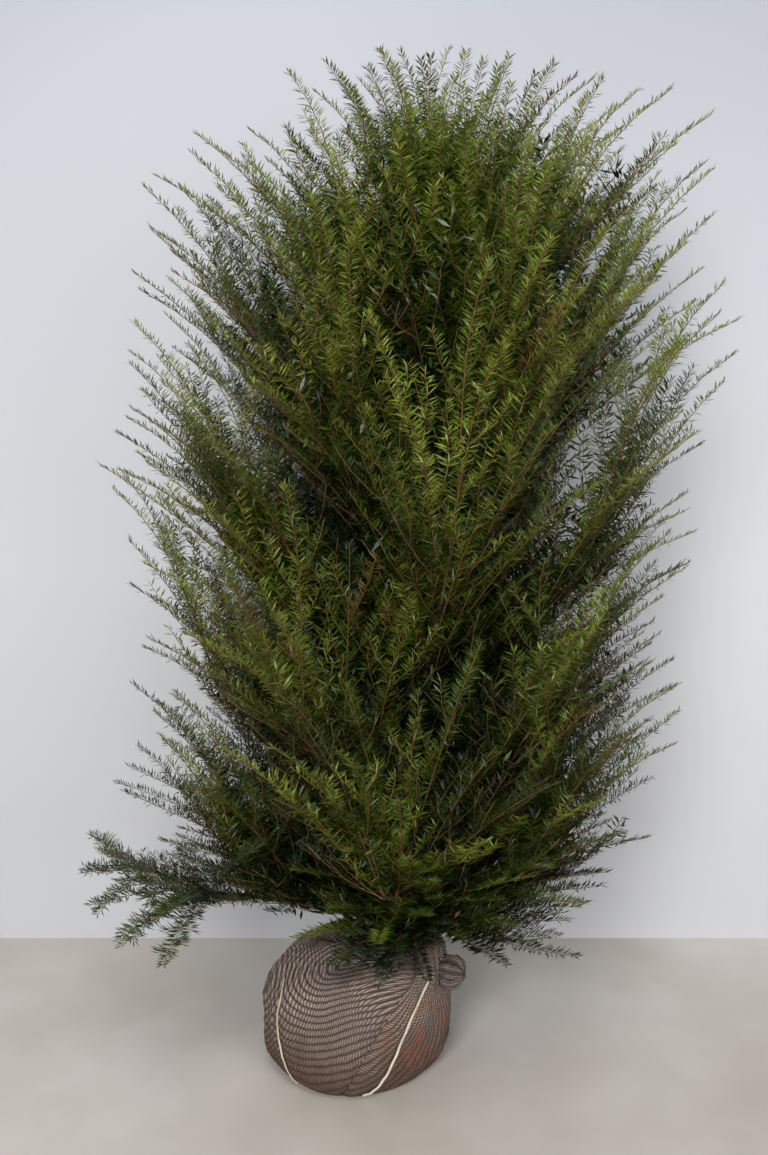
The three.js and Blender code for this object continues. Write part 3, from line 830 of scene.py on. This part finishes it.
def bough_line(node):
    """The middles of a bough's rings from inside the stem outwards, and its radius at each."""
    corners = corners_of(node)
    stem = trunk_line(corners[:, 2].mean())
    order = np.argsort(np.linalg.norm(corners[:, :2] - stem[:2], axis=1))
    axis = unit(corners[order[-BOUGH_SIDES:]].mean(0) - corners[order[:BOUGH_SIDES]].mean(0))
    outward = corners[np.argsort(corners @ axis)]
    rings = outward[-BOUGH_SIDES * BOUGH_RINGS:].reshape(BOUGH_RINGS, BOUGH_SIDES, 3)
    middles = rings.mean(1)
    radii = np.linalg.norm(rings - middles[:, None], axis=2).mean(1)
    root = 2 * middles[0] - middles[1]
    return np.vstack((root, middles)), np.concatenate(((radii[0] * BOUGH_SWELL,), radii))


def arch(start, heading, end, landing, steps):
    """Places along a smooth arch that leaves start along heading and reaches end along landing."""
    reach = np.linalg.norm(end - start)
    share = np.linspace(0, 1, steps + 1)[:, None]
    near = start + heading * reach * SHOOT_PULL
    far = end - landing * reach * SHOOT_PULL
    return (
        (1 - share) ** 3 * start
        + 3 * share * (1 - share) ** 2 * near
        + 3 * share**2 * (1 - share) * far
        + share**3 * end
    )


def bend(start, heading, landing, length, steps):
    """Places along a shoot that turns evenly from heading to landing over its length."""
    share = ((np.arange(steps) + 0.5) / steps)[:, None]
    ahead = unit(heading * (1 - share) + landing * share)
    return np.vstack((start, start + np.cumsum(ahead * length / steps, axis=0)))


def plume_tips(node):
    """The corners of a plume that stand out beyond all their neighbours, its shoot tips."""
    faces = triangles_of(node).round(5)
    places, numbers = np.unique(faces.reshape(-1, 3), axis=0, return_inverse=True)
    numbers = numbers.reshape(-1, 3)
    stem = trunk_line(places[:, 2].min())
    reach = np.linalg.norm(places - stem, axis=1)
    standing = np.ones(len(places), bool)
    for first, second in ((0, 1), (1, 2), (2, 0)):
        a, b = numbers[:, first], numbers[:, second]
        standing[a[reach[a] < reach[b]]] = False
        standing[b[reach[b] < reach[a]]] = False
    return places[standing]


def plume_face(node, count, inner):
    """Places spread at random over the outer face of a plume."""
    faces = triangles_of(node)
    normals = np.cross(faces[:, 1] - faces[:, 0], faces[:, 2] - faces[:, 0])
    areas = np.linalg.norm(normals, axis=1) / 2
    outward = faces.mean(1) - inner
    facing = (unit(normals) * unit(outward)).sum(1)
    weights = areas * np.clip(facing, 0, 1)
    chosen = rng.choice(len(faces), count, p=weights / weights.sum())
    mix = rng.dirichlet((1, 1, 1), count)
    return (faces[chosen] * mix[:, :, None]).sum(1)


def out_from_stem(place):
    """The level way out from the stem to a place, and how far it is."""
    out = place - trunk_line(place[2])
    out[2] = 0
    distance = np.linalg.norm(out)
    return out / max(distance, 1e-6), distance


def depth_in_crown(place):
    """0 at the stem and 1 at the crown's face."""
    out = (place - trunk_line(place[2]))[:2] / CROWN_HALF
    return float(np.linalg.norm(out))


def add_shoot(line, base_radius, tip_radius, main, light, leafy_from, grades):
    """A shoot to be drawn, needled from a share of the way along it in its two needle grades."""
    shoots.append({
        "line": line,
        "radii": np.linspace(base_radius, tip_radius, len(line)),
        "main": main,
        "light": light,
        "leafy_from": leafy_from,
        "grades": grades,
    })


def along_line(line, share):
    """The place and the heading at a share of the way along a line of places."""
    steps = len(line) - 1
    at = np.clip(share * steps, 0, steps - 1e-6)
    lower = int(at)
    place = line[lower] + (line[lower + 1] - line[lower]) * (at - lower)
    return place, unit(line[lower + 1] - line[lower])


def add_side_shoots(line, length, light, first, kind):
    """Side shoots off a shoot from a distance along it, left and right in turn, turning upwards."""
    habit = SIDE_SHOOTS[kind]
    distance = first
    side = 1 if rng.random() < 0.5 else -1
    while distance < length - habit["bare_tip"]:
        share = distance / length
        start, ahead = along_line(line, share)
        aside = unit(np.cross(ahead, UP) + 1e-6)
        above = np.cross(aside, ahead)
        size = np.clip((length - distance) * rng.uniform(*SIDE_SHARE), *habit["sizes"])
        fork = math.radians(rng.uniform(*SIDE_FORK))
        roll = math.radians(rng.uniform(*SIDE_ROLL))
        outward = side * aside * math.cos(roll) + above * math.sin(roll)
        heading = math.cos(fork) * ahead + math.sin(fork) * outward
        rise = SIDE_RISE * habit["lift"] * (1 - max(ahead[2], 0)) * rng.uniform(0.6, 1.1)
        landing = unit(heading * 0.3 + ahead * 0.65 + UP * rise)
        steps = 2 if size < 0.12 else 3
        side_line = bend(start, heading, landing, size, steps)
        dimmed = light * rng.uniform(0.8, 1.05)
        grade = habit["grades"][0 if distance < first + (length - first) * INNER_PART else 1]
        add_shoot(side_line, SHOOT_RADIUS, SIDE_TIP_RADIUS, False, dimmed, 0.03, (grade, grade))
        distance += habit["spacing"] * rng.uniform(0.8, 1.2)
        side = -side


def filled_in(line):
    """Places every centimetre or so along a line of places."""
    length = np.linalg.norm(np.diff(line, axis=0), axis=1).sum()
    count = max(2, int(length / WOOD_SPACING))
    return [along_line(line, share)[0] for share in np.linspace(0, 1, count)]


def shoot_root(target):
    """The place on the old wood that a shoot to a target would best have grown from."""
    steepness = np.clip((target[2] - RISE_FROM) / (RISE_FULL - RISE_FROM), 0, 1)
    rise = RISE_LEAST + (RISE_MOST - RISE_LEAST) * steepness + rng.uniform(-RISE_VARIES, RISE_VARIES)
    length = rng.uniform(*SHOOT_LENGTHS)
    outward, distance = out_from_stem(target)
    run = min(distance, length * math.cos(rise))
    drop = math.sqrt(length**2 - run**2)
    best = target - outward * run
    best[2] = max(target[2] - min(drop, length), trunk_foot + 0.02)
    apart = np.linalg.norm((wood - best) * (1.0, 1.0, 1.4), axis=1)
    apart[wood[:, 2] > target[2] - 0.04] += 1.0
    return wood[np.argmin(apart)]


def grow_shoot(target, light, kind):
    """A long shoot to a target, with its side shoots."""
    grades = SIDE_SHOOTS[kind]["grades"]
    start = shoot_root(target)
    straight = unit(target - start)
    outward, _ = out_from_stem(target)
    sideways = np.cross(UP, outward) * rng.uniform(-0.25, 0.25)
    leaving = unit(straight + UP * rng.uniform(0.1, 0.5) * (1 - straight[2]))
    nod = rng.uniform(0.2, 0.9) * np.clip((target[2] - RISE_FROM) / 0.5, 0, 1)
    landing = unit(straight + outward * nod + sideways)
    length = np.linalg.norm(target - start)
    line = arch(start, leaving, target, landing, SHOOT_STEPS)
    leafy_from = max(0.0, 1 - NEEDLED_REACH / length)
    add_shoot(line, OLD_RADIUS, SHOOT_RADIUS * 0.7, True, light, leafy_from, grades)
    first = max(0.03, length - NEEDLED_REACH)
    add_side_shoots(line, length, light, first, kind)


def under_roof(target):
    """A target no higher than the crown's top is at that distance from the leader."""
    away = np.linalg.norm(target[:2] - leader_tip[:2])
    target[2] = min(target[2], plant_top - ROOF_DROP - ROOF_SLOPE * away)
    return target


for foliage_name in foliage_names:
    bough_name = foliage_name.replace("foliage_", "bough_")
    if bough_name in bough_names:
        middles, bough_radii = bough_line(bough_name)
        limbs.append((middles, bough_radii))
        if foliage_name == ARM:
            continue
        tips = plume_tips(foliage_name)
        far = tips[np.argsort(-np.linalg.norm(tips - middles[-1], axis=1))[: max(3, len(tips) // 2)]]
        aim = far.mean(0)
        end = middles[-1] + (aim - middles[-1]) * LIMB_SHARE
        heading = unit(middles[-1] - middles[-2])
        limb = arch(middles[-1], heading, end, unit(aim - middles[-1]), LIMB_STEPS)
        limbs.append((limb, np.linspace(bough_radii[-1], LIMB_TIP_RADIUS, len(limb))))

stem_heights = np.arange(trunk_foot + 0.02, plant_top - 0.3, WOOD_SPACING)
stem_places = [trunk_line(height) for height in stem_heights]
wood = np.array(stem_places + [place for line, _ in limbs for place in filled_in(line)])

for foliage_name in foliage_names:
    if foliage_name == ARM:
        continue
    habit = PLUME_SHOOTS[foliage_name.split("_")[1]]
    low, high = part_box(foliage_name)
    middle = np.array((low + high) / 2)
    root = trunk_line(middle[2] - 0.1)
    tips = plume_tips(foliage_name)
    if foliage_name.split("_")[1] == "skirt":
        tips = root + (tips - root) * rng.uniform(*SKIRT_REACH, (len(tips), 1))
    outer = plume_face(foliage_name, habit["outer"], root)
    outer = root + (outer - root) * rng.uniform(*habit["outer_reach"], (len(outer), 1))
    inner = plume_face(foliage_name, habit["inner"], root)
    inner = root + (inner - root) * rng.uniform(*INNER_REACH, (len(inner), 1))
    for number, target in enumerate(np.vstack((tips, outer, inner))):
        crowded = foliage_name.split("_")[1] in ("top", "shoulder") and rng.random() > TALL_SHARE
        if number >= len(tips) or crowded:
            target = under_roof(target)
        if target[2] < trunk_foot + 0.03:
            target[2] = trunk_foot + rng.uniform(0.0, 0.08)
        # painted light and shade: shoots higher up get a brighter needle tone, and inner ones a darker
        # one
        height_share = (target[2] - trunk_foot) / (plant_top - trunk_foot)
        light = LIGHT_LOW + LIGHT_GAIN * height_share + rng.normal(0, LIGHT_VARIES)
        if number < len(tips) + len(outer):
            grow_shoot(target, light, "outer")
        else:
            grow_shoot(target, light * INNER_LIGHT, "inner")

# the low arm is one long shoot that arches over at its end, with small sprays along it
arm_tips = plume_tips(ARM)
arm_start = bough_line(ARM.replace("foliage_", "bough_"))[0]
arm_tip = arm_tips[np.argmin(arm_tips[:, 0])]
arm_ahead = unit(arm_start[-1] - arm_start[-2])
arm_leaving = unit(arm_ahead + UP * ARM_RISE)
arm_landing = unit(arm_ahead - UP * ARM_DROOP)
arm = arch(arm_start[-1], arm_leaving, arm_tip, arm_landing, ARM_STEPS)
arm_length = np.linalg.norm(np.diff(arm, axis=0), axis=1).sum()
add_shoot(arm, *ARM_RADII, True, ARM_LIGHT, 0.05, ("face", "face"))
add_side_shoots(arm, arm_length, ARM_LIGHT, 0.01, "arm")
arm_bough_length = np.linalg.norm(arm_start[-1] - arm_start[0])
add_side_shoots(arm_start, arm_bough_length, ARM_LIGHT, 0.12, "arm_bough")
for target in arm_tips:
    away = np.linalg.norm(arm - target, axis=1)
    nearest = arm[max(np.argmin(away) - ARM_END_BACK, 0)]
    if np.linalg.norm(target - arm_tip) > 0.02:
        straight = unit(target - nearest)
        line = arch(nearest, unit(straight + arm_ahead * 0.5), target, unit(straight - UP * 0.2), 5)
        add_shoot(line, SHOOT_RADIUS * 1.2, SIDE_TIP_RADIUS, True, ARM_LIGHT, 0.05, ("face", "face"))
        reach = np.linalg.norm(target - nearest)
        add_side_shoots(line, reach, ARM_LIGHT * 0.9, 0.03, "arm_end")

# shoots off the stem fill the room between the arm and the plumes above it
for _ in range(ABOVE_ARM):
    target, _ = along_line(np.vstack((arm_start[-1], arm)), rng.uniform(*ABOVE_ARM_REACH))
    target = target + np.array((0.0, rng.uniform(-0.12, 0.14), rng.uniform(*ABOVE_ARM_RISE)))
    grow_shoot(target, rng.normal(0.5, 0.12), "outer")

# a few short shoots off the stem's foot hang over the front of the ball
for _ in range(HANGING):
    turn = math.radians(rng.uniform(*HANGING_TURNS))
    height = rng.uniform(*HANGING_HEIGHTS)
    outward = ball_outward(turn, height)
    end = ball_place(turn, height) + outward * HANGING_CLEAR
    downward = unit(ball_place(turn, height - 0.03) - ball_place(turn, height))
    start = trunk_line(trunk_foot + rng.uniform(0.03, 0.07))
    leaving = unit((end - start) * (1.0, 1.0, 0.0) + UP * 0.05)
    line = arch(start, leaving, end, unit(downward + outward * 0.6), 7)
    length = np.linalg.norm(np.diff(line, axis=0), axis=1).sum()
    light = rng.normal(0.55, 0.1)
    add_shoot(line, SHOOT_RADIUS * 1.4, SHOOT_RADIUS * 0.7, True, light, 0.1, ("face", "face"))
    add_side_shoots(line, length, 0.5, 0.05, "hanging")

# short sprays fill the middle of the crown, off the stem and the limbs, dark with painted shade
core_places = []
height = trunk_foot + 0.02
while height < plant_top - 0.35:
    core_places.append(trunk_line(height))
    height += CORE_SPACING
for limb, radii in limbs:
    core_places += filled_in(limb)[::3]
for place in core_places:
    turn = rng.uniform(0, 2 * math.pi)
    outward = np.array((math.cos(turn), math.sin(turn), 0.0))
    size = rng.uniform(*CORE_SIZES)
    rising = bend(place, unit(outward + UP * 0.5), unit(outward * 0.7 + UP), size, 4)
    add_shoot(rising, SHOOT_RADIUS * 1.4, 0.0007, False, CORE_LIGHT, 0.1, ("middle", "middle"))
    add_side_shoots(rising, size, CORE_LIGHT, 0.04, "core")

# ---- Needles ----
# Flat pointed needles grow in two ranks that stand up in a V along each shoot, and shorten
# and close up at its tip.  Those on the crown's face are as long as the real ones.
NEEDLE_LENGTH = 0.0238
NEEDLE_WIDTH = 0.0026
NEEDLE_SPACING = 0.0035
# Needles at the crown's face, behind it and in its hidden middle: how much longer, wider and
# further apart they are than the real ones.
NEEDLE_GRADES = {"face": (1.0, 1.0, 1.0), "behind": (1.1, 1.6, 2.1), "middle": (1.5, 2.7, 3.2)}
MIDDLE_DEPTH = 0.62
NEEDLES_MOST = 90000  # in one piece
NEEDLE_SPREAD = (76, 16)  # degrees that a rank leans over from upright, and how much that varies
NEEDLE_LEAN = (67, 6)  # degrees between a needle and its shoot, and how much that varies
NEEDLE_ROUGHNESS = 0.38
NEEDLE_SHINE = 0.5
# the light value above which each tone is picked; the darker tones are painted shade and the brighter
# ones painted light towards the top
TONE_FROM = {"fresh": 0.80, "olive": 0.64, "mid": 0.47, "deep": 0.30, "shade": -9.0}
BROWN_SHARE = 0.012
BLUE_SHARE = 0.09
CORE_PAINTED_SHADE = 0.55
CORE_DIMS_FROM = 0.85  # how deep in the crown painted shade begins to darken the sprays, and how fast
CORE_DIMS_OVER = 0.5
SPRAY_VARIES = 0.05
LONG_SHOOT_PARTS = 3  # parts of a long shoot that may differ in tone
NEEDLE_COLOURS = {
    "fresh": (0.190, 0.238, 0.026),
    "olive": (0.108, 0.148, 0.013),
    "mid": (0.041, 0.071, 0.003),
    "deep": (0.018, 0.036, 0.002),
    "shade": (0.005, 0.012, 0.001),
    "blue": (0.014, 0.036, 0.010),
    "brown": (0.110, 0.070, 0.014),
}


def needles_on(line, first, last, grade):
    """Places of the needles' four corners from one share of the way along a shoot to another."""
    lengths = np.linalg.norm(np.diff(line, axis=0), axis=1)
    reach = np.concatenate(([0], np.cumsum(lengths)))
    start = reach[-1] * first
    longer, wider, sparser = NEEDLE_GRADES[grade]
    spacing = NEEDLE_SPACING * sparser
    count = int(reach[-1] * (last - first) / spacing)
    if count < 1:
        return np.zeros((0, 4, 3))
    at = np.repeat(start + (np.arange(count) + 1) * spacing, 2)
    at += rng.uniform(-0.18, 0.18, len(at)) * spacing
    at = np.clip(at, 0, reach[-1])
    side = np.tile((1.0, -1.0), count)
    roots = np.stack([np.interp(at, reach, line[:, axis]) for axis in range(3)], axis=1)
    segment = np.clip(np.searchsorted(reach, at) - 1, 0, len(lengths) - 1)
    ahead = unit(np.diff(line, axis=0))[segment]
    aside = unit(np.cross(ahead, UP) + 1e-6)
    above = np.cross(aside, ahead)
    share = at / reach[-1]
    steep = np.abs(ahead[:, 2])
    spread = rng.normal(*NEEDLE_SPREAD, len(at)) + steep**4 * rng.normal(0, 70, len(at))
    spread = np.radians(spread)
    lean = rng.normal(*NEEDLE_LEAN, len(at)) - 32 * np.clip((share - 0.9) / 0.1, 0, 1)
    lean = np.radians(lean)
    outward = np.cos(spread)[:, None] * above + (side * np.sin(spread))[:, None] * aside
    heading = np.cos(lean)[:, None] * ahead + np.sin(lean)[:, None] * outward
    face = unit(above + 0.5 * ahead + rng.normal(0, 0.3, (len(at), 3)))
    across = unit(np.cross(heading, face))
    size = NEEDLE_LENGTH * rng.uniform(0.78, 1.15, len(at))
    size *= longer * (1 - 0.35 * np.clip((share - 0.85) / 0.15, 0, 1))
    width = NEEDLE_WIDTH * wider * rng.uniform(0.85, 1.1, len(at))
    corners = np.empty((len(at), 4, 3))
    for corner, (out, half) in enumerate(((0.0, 0.0), (0.45, 0.5), (1.0, 0.0), (0.45, -0.5))):
        corners[:, corner] = roots + heading * (size * out)[:, None] + across * (width * half)[:, None]
    return corners


def mesh_from_arrays(places, corners, counts):
    """A mesh from its corners' places, each face's corner numbers in a row, and their counts."""
    mesh = bpy.data.meshes.new("joined")
    mesh.vertices.add(len(places))
    mesh.vertices.foreach_set("co", places.astype(np.float32).ravel())
    mesh.loops.add(len(corners))
    mesh.loops.foreach_set("vertex_index", corners.astype(np.int32))
    mesh.polygons.add(len(counts))
    starts = np.concatenate(([0], np.cumsum(counts)[:-1]))
    mesh.polygons.foreach_set("loop_start", starts.astype(np.int32))
    mesh.update(calc_edges=True)
    mesh.validate()
    return mesh


def needle_mesh(corners):
    """One mesh of all the needles of a tone."""
    count = len(corners)
    return mesh_from_arrays(corners.reshape(-1, 3), np.arange(count * 4), np.full(count, 4))


def tone_for(light):
    """The tone of a spray, by its light value, which paints light and shade into the needles' colours.
    """
    draw = rng.random()
    if draw < BROWN_SHARE:
        return "brown"
    if draw < BLUE_SHARE and light < TONE_FROM["olive"]:
        return "blue"
    return next(tone for tone, least in TONE_FROM.items() if light > least)


sprays = {tone: [] for tone in NEEDLE_COLOURS}
for shoot in shoots:
    light = shoot["light"] + rng.normal(0, SPRAY_VARIES)
    shares = [shoot["leafy_from"], 1.0]
    if shoot["main"]:
        shares = list(np.linspace(shoot["leafy_from"], 1.0, LONG_SHOOT_PARTS + 1))
    for part, (first, last) in enumerate(zip(shares, shares[1:])):
        place, _ = along_line(shoot["line"], (first + last) / 2)
        # painted shade: sprays deep in the crown and below its top get darker tones
        depth = depth_in_crown(place)
        below_roof = np.clip((plant_top - place[2] - 0.1) / 0.5, 0, 1)
        core_shade = np.clip((CORE_DIMS_FROM - depth) / CORE_DIMS_OVER, 0, 1) * below_roof
        grade = shoot["grades"][0 if part == 0 else 1]
        if grade == "middle" and depth > MIDDLE_DEPTH:
            grade = "behind"
        tone = tone_for(light * (1 - CORE_PAINTED_SHADE * core_shade))
        sprays[tone].append(needles_on(shoot["line"], first, last, grade))

for tone, colour in NEEDLE_COLOURS.items():
    needle_material, needle_shader = new_material("needles_" + tone, colour, NEEDLE_ROUGHNESS)
    needle_shader.inputs["Specular IOR Level"].default_value = NEEDLE_SHINE
    corners = np.concatenate(sprays[tone])
    shares = np.array_split(corners, math.ceil(len(corners) / NEEDLES_MOST))
    for number, share in enumerate(shares):
        name = "needles_{}_{}".format(tone, number + 1)
        needles = add_object(name, needle_mesh(share), needle_material, smooth=False)
        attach(needles, "root")
        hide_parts(*foliage_names)

# ---- Twigs ----
# The wood of the shoots, which tapers to their tips.  It is thin and orange brown, the side
# shoots in one piece and the long shoots that bear them in another.
TWIG_COLOUR = (0.14, 0.062, 0.016)
TWIG_ROUGHNESS = 0.7
TWIG_SIDES = 3
TWIG_DEPTH = 0.5  # the side shoots nearer the stem than this are lost behind needles


def tube(line, radii, sides, flutes=None):
    """A tube of quads round a line of places, closed with a point at its far end."""
    ahead = unit(np.gradient(line, axis=0))
    aside = np.cross(ahead, UP)
    level = np.linalg.norm(aside, axis=1) < 0.3
    aside[level] = np.cross(ahead[level], np.array((0.0, 1.0, 0.0)))
    aside = unit(aside)
    upward = np.cross(aside, ahead)
    turns = np.arange(sides) / sides * 2 * math.pi
    rounds = np.cos(turns)[None, :, None] * aside[:, None]
    rounds = rounds + np.sin(turns)[None, :, None] * upward[:, None]
    thickness = radii[:, None] * (np.ones((len(line), sides)) if flutes is None else flutes)
    places = line[:, None] + rounds * thickness[..., None]
    places = np.vstack((places.reshape(-1, 3), line[-1] + ahead[-1] * radii[-1]))
    here = np.arange((len(line) - 1) * sides)
    beside = here - here % sides + (here + 1) % sides
    quads = np.stack((here, here + sides, beside + sides, beside), axis=1)
    rim = (len(line) - 1) * sides + np.arange(sides)
    tip = np.full(sides, len(line) * sides)
    triangles = np.stack((rim, tip, (len(line) - 1) * sides + (np.arange(sides) + 1) % sides), axis=1)
    return places, quads, triangles


def joined_tubes(tubes):
    """One mesh from many tubes."""
    places, faces, counts, start = [], [], [], 0
    for tube_places, quads, triangles in tubes:
        places.append(tube_places)
        faces += [(quads + start).ravel(), (triangles + start).ravel()]
        counts += [np.full(len(quads), 4), np.full(len(triangles), 3)]
        start += len(tube_places)
    return mesh_from_arrays(np.vstack(places), np.concatenate(faces), np.concatenate(counts))


twig_material, _ = new_material("twig_bark", TWIG_COLOUR, TWIG_ROUGHNESS)
side_twigs = [
    tube(shoot["line"], shoot["radii"], TWIG_SIDES)
    for shoot in shoots
    if not shoot["main"] and depth_in_crown(shoot["line"][-1]) > TWIG_DEPTH
]
long_twigs = [tube(shoot["line"], shoot["radii"], TWIG_SIDES) for shoot in shoots if shoot["main"]]
for name, twigs in (("twigs_young", side_twigs), ("twigs_old", long_twigs)):
    twig_piece = add_object(name, joined_tubes(twigs), twig_material)
    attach(twig_piece, "root")

# ---- Stem ----
# The stem stands in the neck of the ball, where it swells, and tapers up into the crown.  Its
# bark is thin, red brown and flaking, and swells and cracks along it.
TRUNK_TOP = 1.65
TRUNK_RADII = (0.023, 0.007)
ROOT_FLARE = 0.014
ROOT_FLARE_HEIGHT = 0.06
STEM_SIDES = 36
BARK_RING_SPACING = 0.007
BARK_RIDGE_WIDTH = 0.03
BARK_RELIEF = 0.045


def bark_ridges(along, sides, seed):
    """The swellings and cracks of bark round a stem at places along it, as shares of its radius."""
    turns = np.arange(sides) / sides * 2 * math.pi
    grid = np.zeros((len(along), sides, 3))
    grid[..., 0] = BARK_RIDGE_WIDTH * np.cos(turns)
    grid[..., 1] = BARK_RIDGE_WIDTH * np.sin(turns)
    grid[..., 2] = along[:, None] * 0.3
    return 1 + BARK_RELIEF * soft_waves(grid.reshape(-1, 3), seed, 0.04).reshape(len(along), sides)


def bark_material():
    """Thin red brown bark with darker cracks along it and dull patches."""
    material, shader = new_material("bark", (0.10, 0.055, 0.032), 0.85)
    tree = material.node_tree
    place = object_coordinates(tree)
    along = tree.nodes.new("ShaderNodeMapping")
    along.inputs["Scale"].default_value = (1.0, 1.0, 0.22)
    tree.links.new(place, along.inputs["Vector"])
    flakes = noise_node(tree, along.outputs["Vector"], 160.0, 4.0)
    weathered = patch_mask(tree, place, scale=22.0, detail=3.0, low=0.5, high=0.7)
    flaking = between(tree, flakes, 0.4, 0.65)
    warm = blend_colours(tree, flaking, (0.040, 0.025, 0.017), (0.115, 0.066, 0.040))
    dull = blend_colours(tree, weathered, warm, (0.085, 0.075, 0.045))
    tree.links.new(dull, shader.inputs["Base Color"])
    relief = tree.nodes.new("ShaderNodeBump")
    relief.inputs["Distance"].default_value = 0.002
    tree.links.new(flakes, relief.inputs["Height"])
    tree.links.new(relief.outputs["Normal"], shader.inputs["Normal"])
    return material


bark = bark_material()
heights = np.arange(trunk_foot, TRUNK_TOP, BARK_RING_SPACING)
trunk_middles = np.array([trunk_line(height) for height in heights])
trunk_radii = np.interp(heights, (trunk_foot, TRUNK_TOP), TRUNK_RADII)
trunk_radii += ROOT_FLARE * np.exp(-(heights - trunk_foot) / ROOT_FLARE_HEIGHT)
ridges = bark_ridges(heights, STEM_SIDES, 31)
stem = add_object("stem", joined_tubes([tube(trunk_middles, trunk_radii, STEM_SIDES, ridges)]), bark)
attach(stem, "root")
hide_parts("trunk")

# ---- Limbs ----
# The boughs and the limbs that they run on into, round wood with the stem's bark, which
# wanders a little and thins out among the shoots.
LIMB_SIDES = 12
LIMB_WANDER = 0.005

limb_tubes = []
for number, (line, radii) in enumerate(limbs):
    rings = max(3, int(np.linalg.norm(line[-1] - line[0]) / BARK_RING_SPACING))
    shares = np.linspace(0, 1, rings)
    fine = np.array([along_line(line, share)[0] for share in shares])
    wander = LIMB_WANDER * np.sin(math.pi * shares) * soft_waves(fine, 40 + number, 0.12)
    fine[:, 1:] += wander[:, None] * (0.5, 1.0)
    fine_radii = np.interp(shares, np.linspace(0, 1, len(radii)), radii)
    ridges = bark_ridges(shares * np.linalg.norm(line[-1] - line[0]), LIMB_SIDES, number)
    limb_tubes.append(tube(fine, fine_radii, LIMB_SIDES, ridges))
limb_piece = add_object("limbs", joined_tubes(limb_tubes), bark)
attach(limb_piece, "root")
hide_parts(*bough_names)
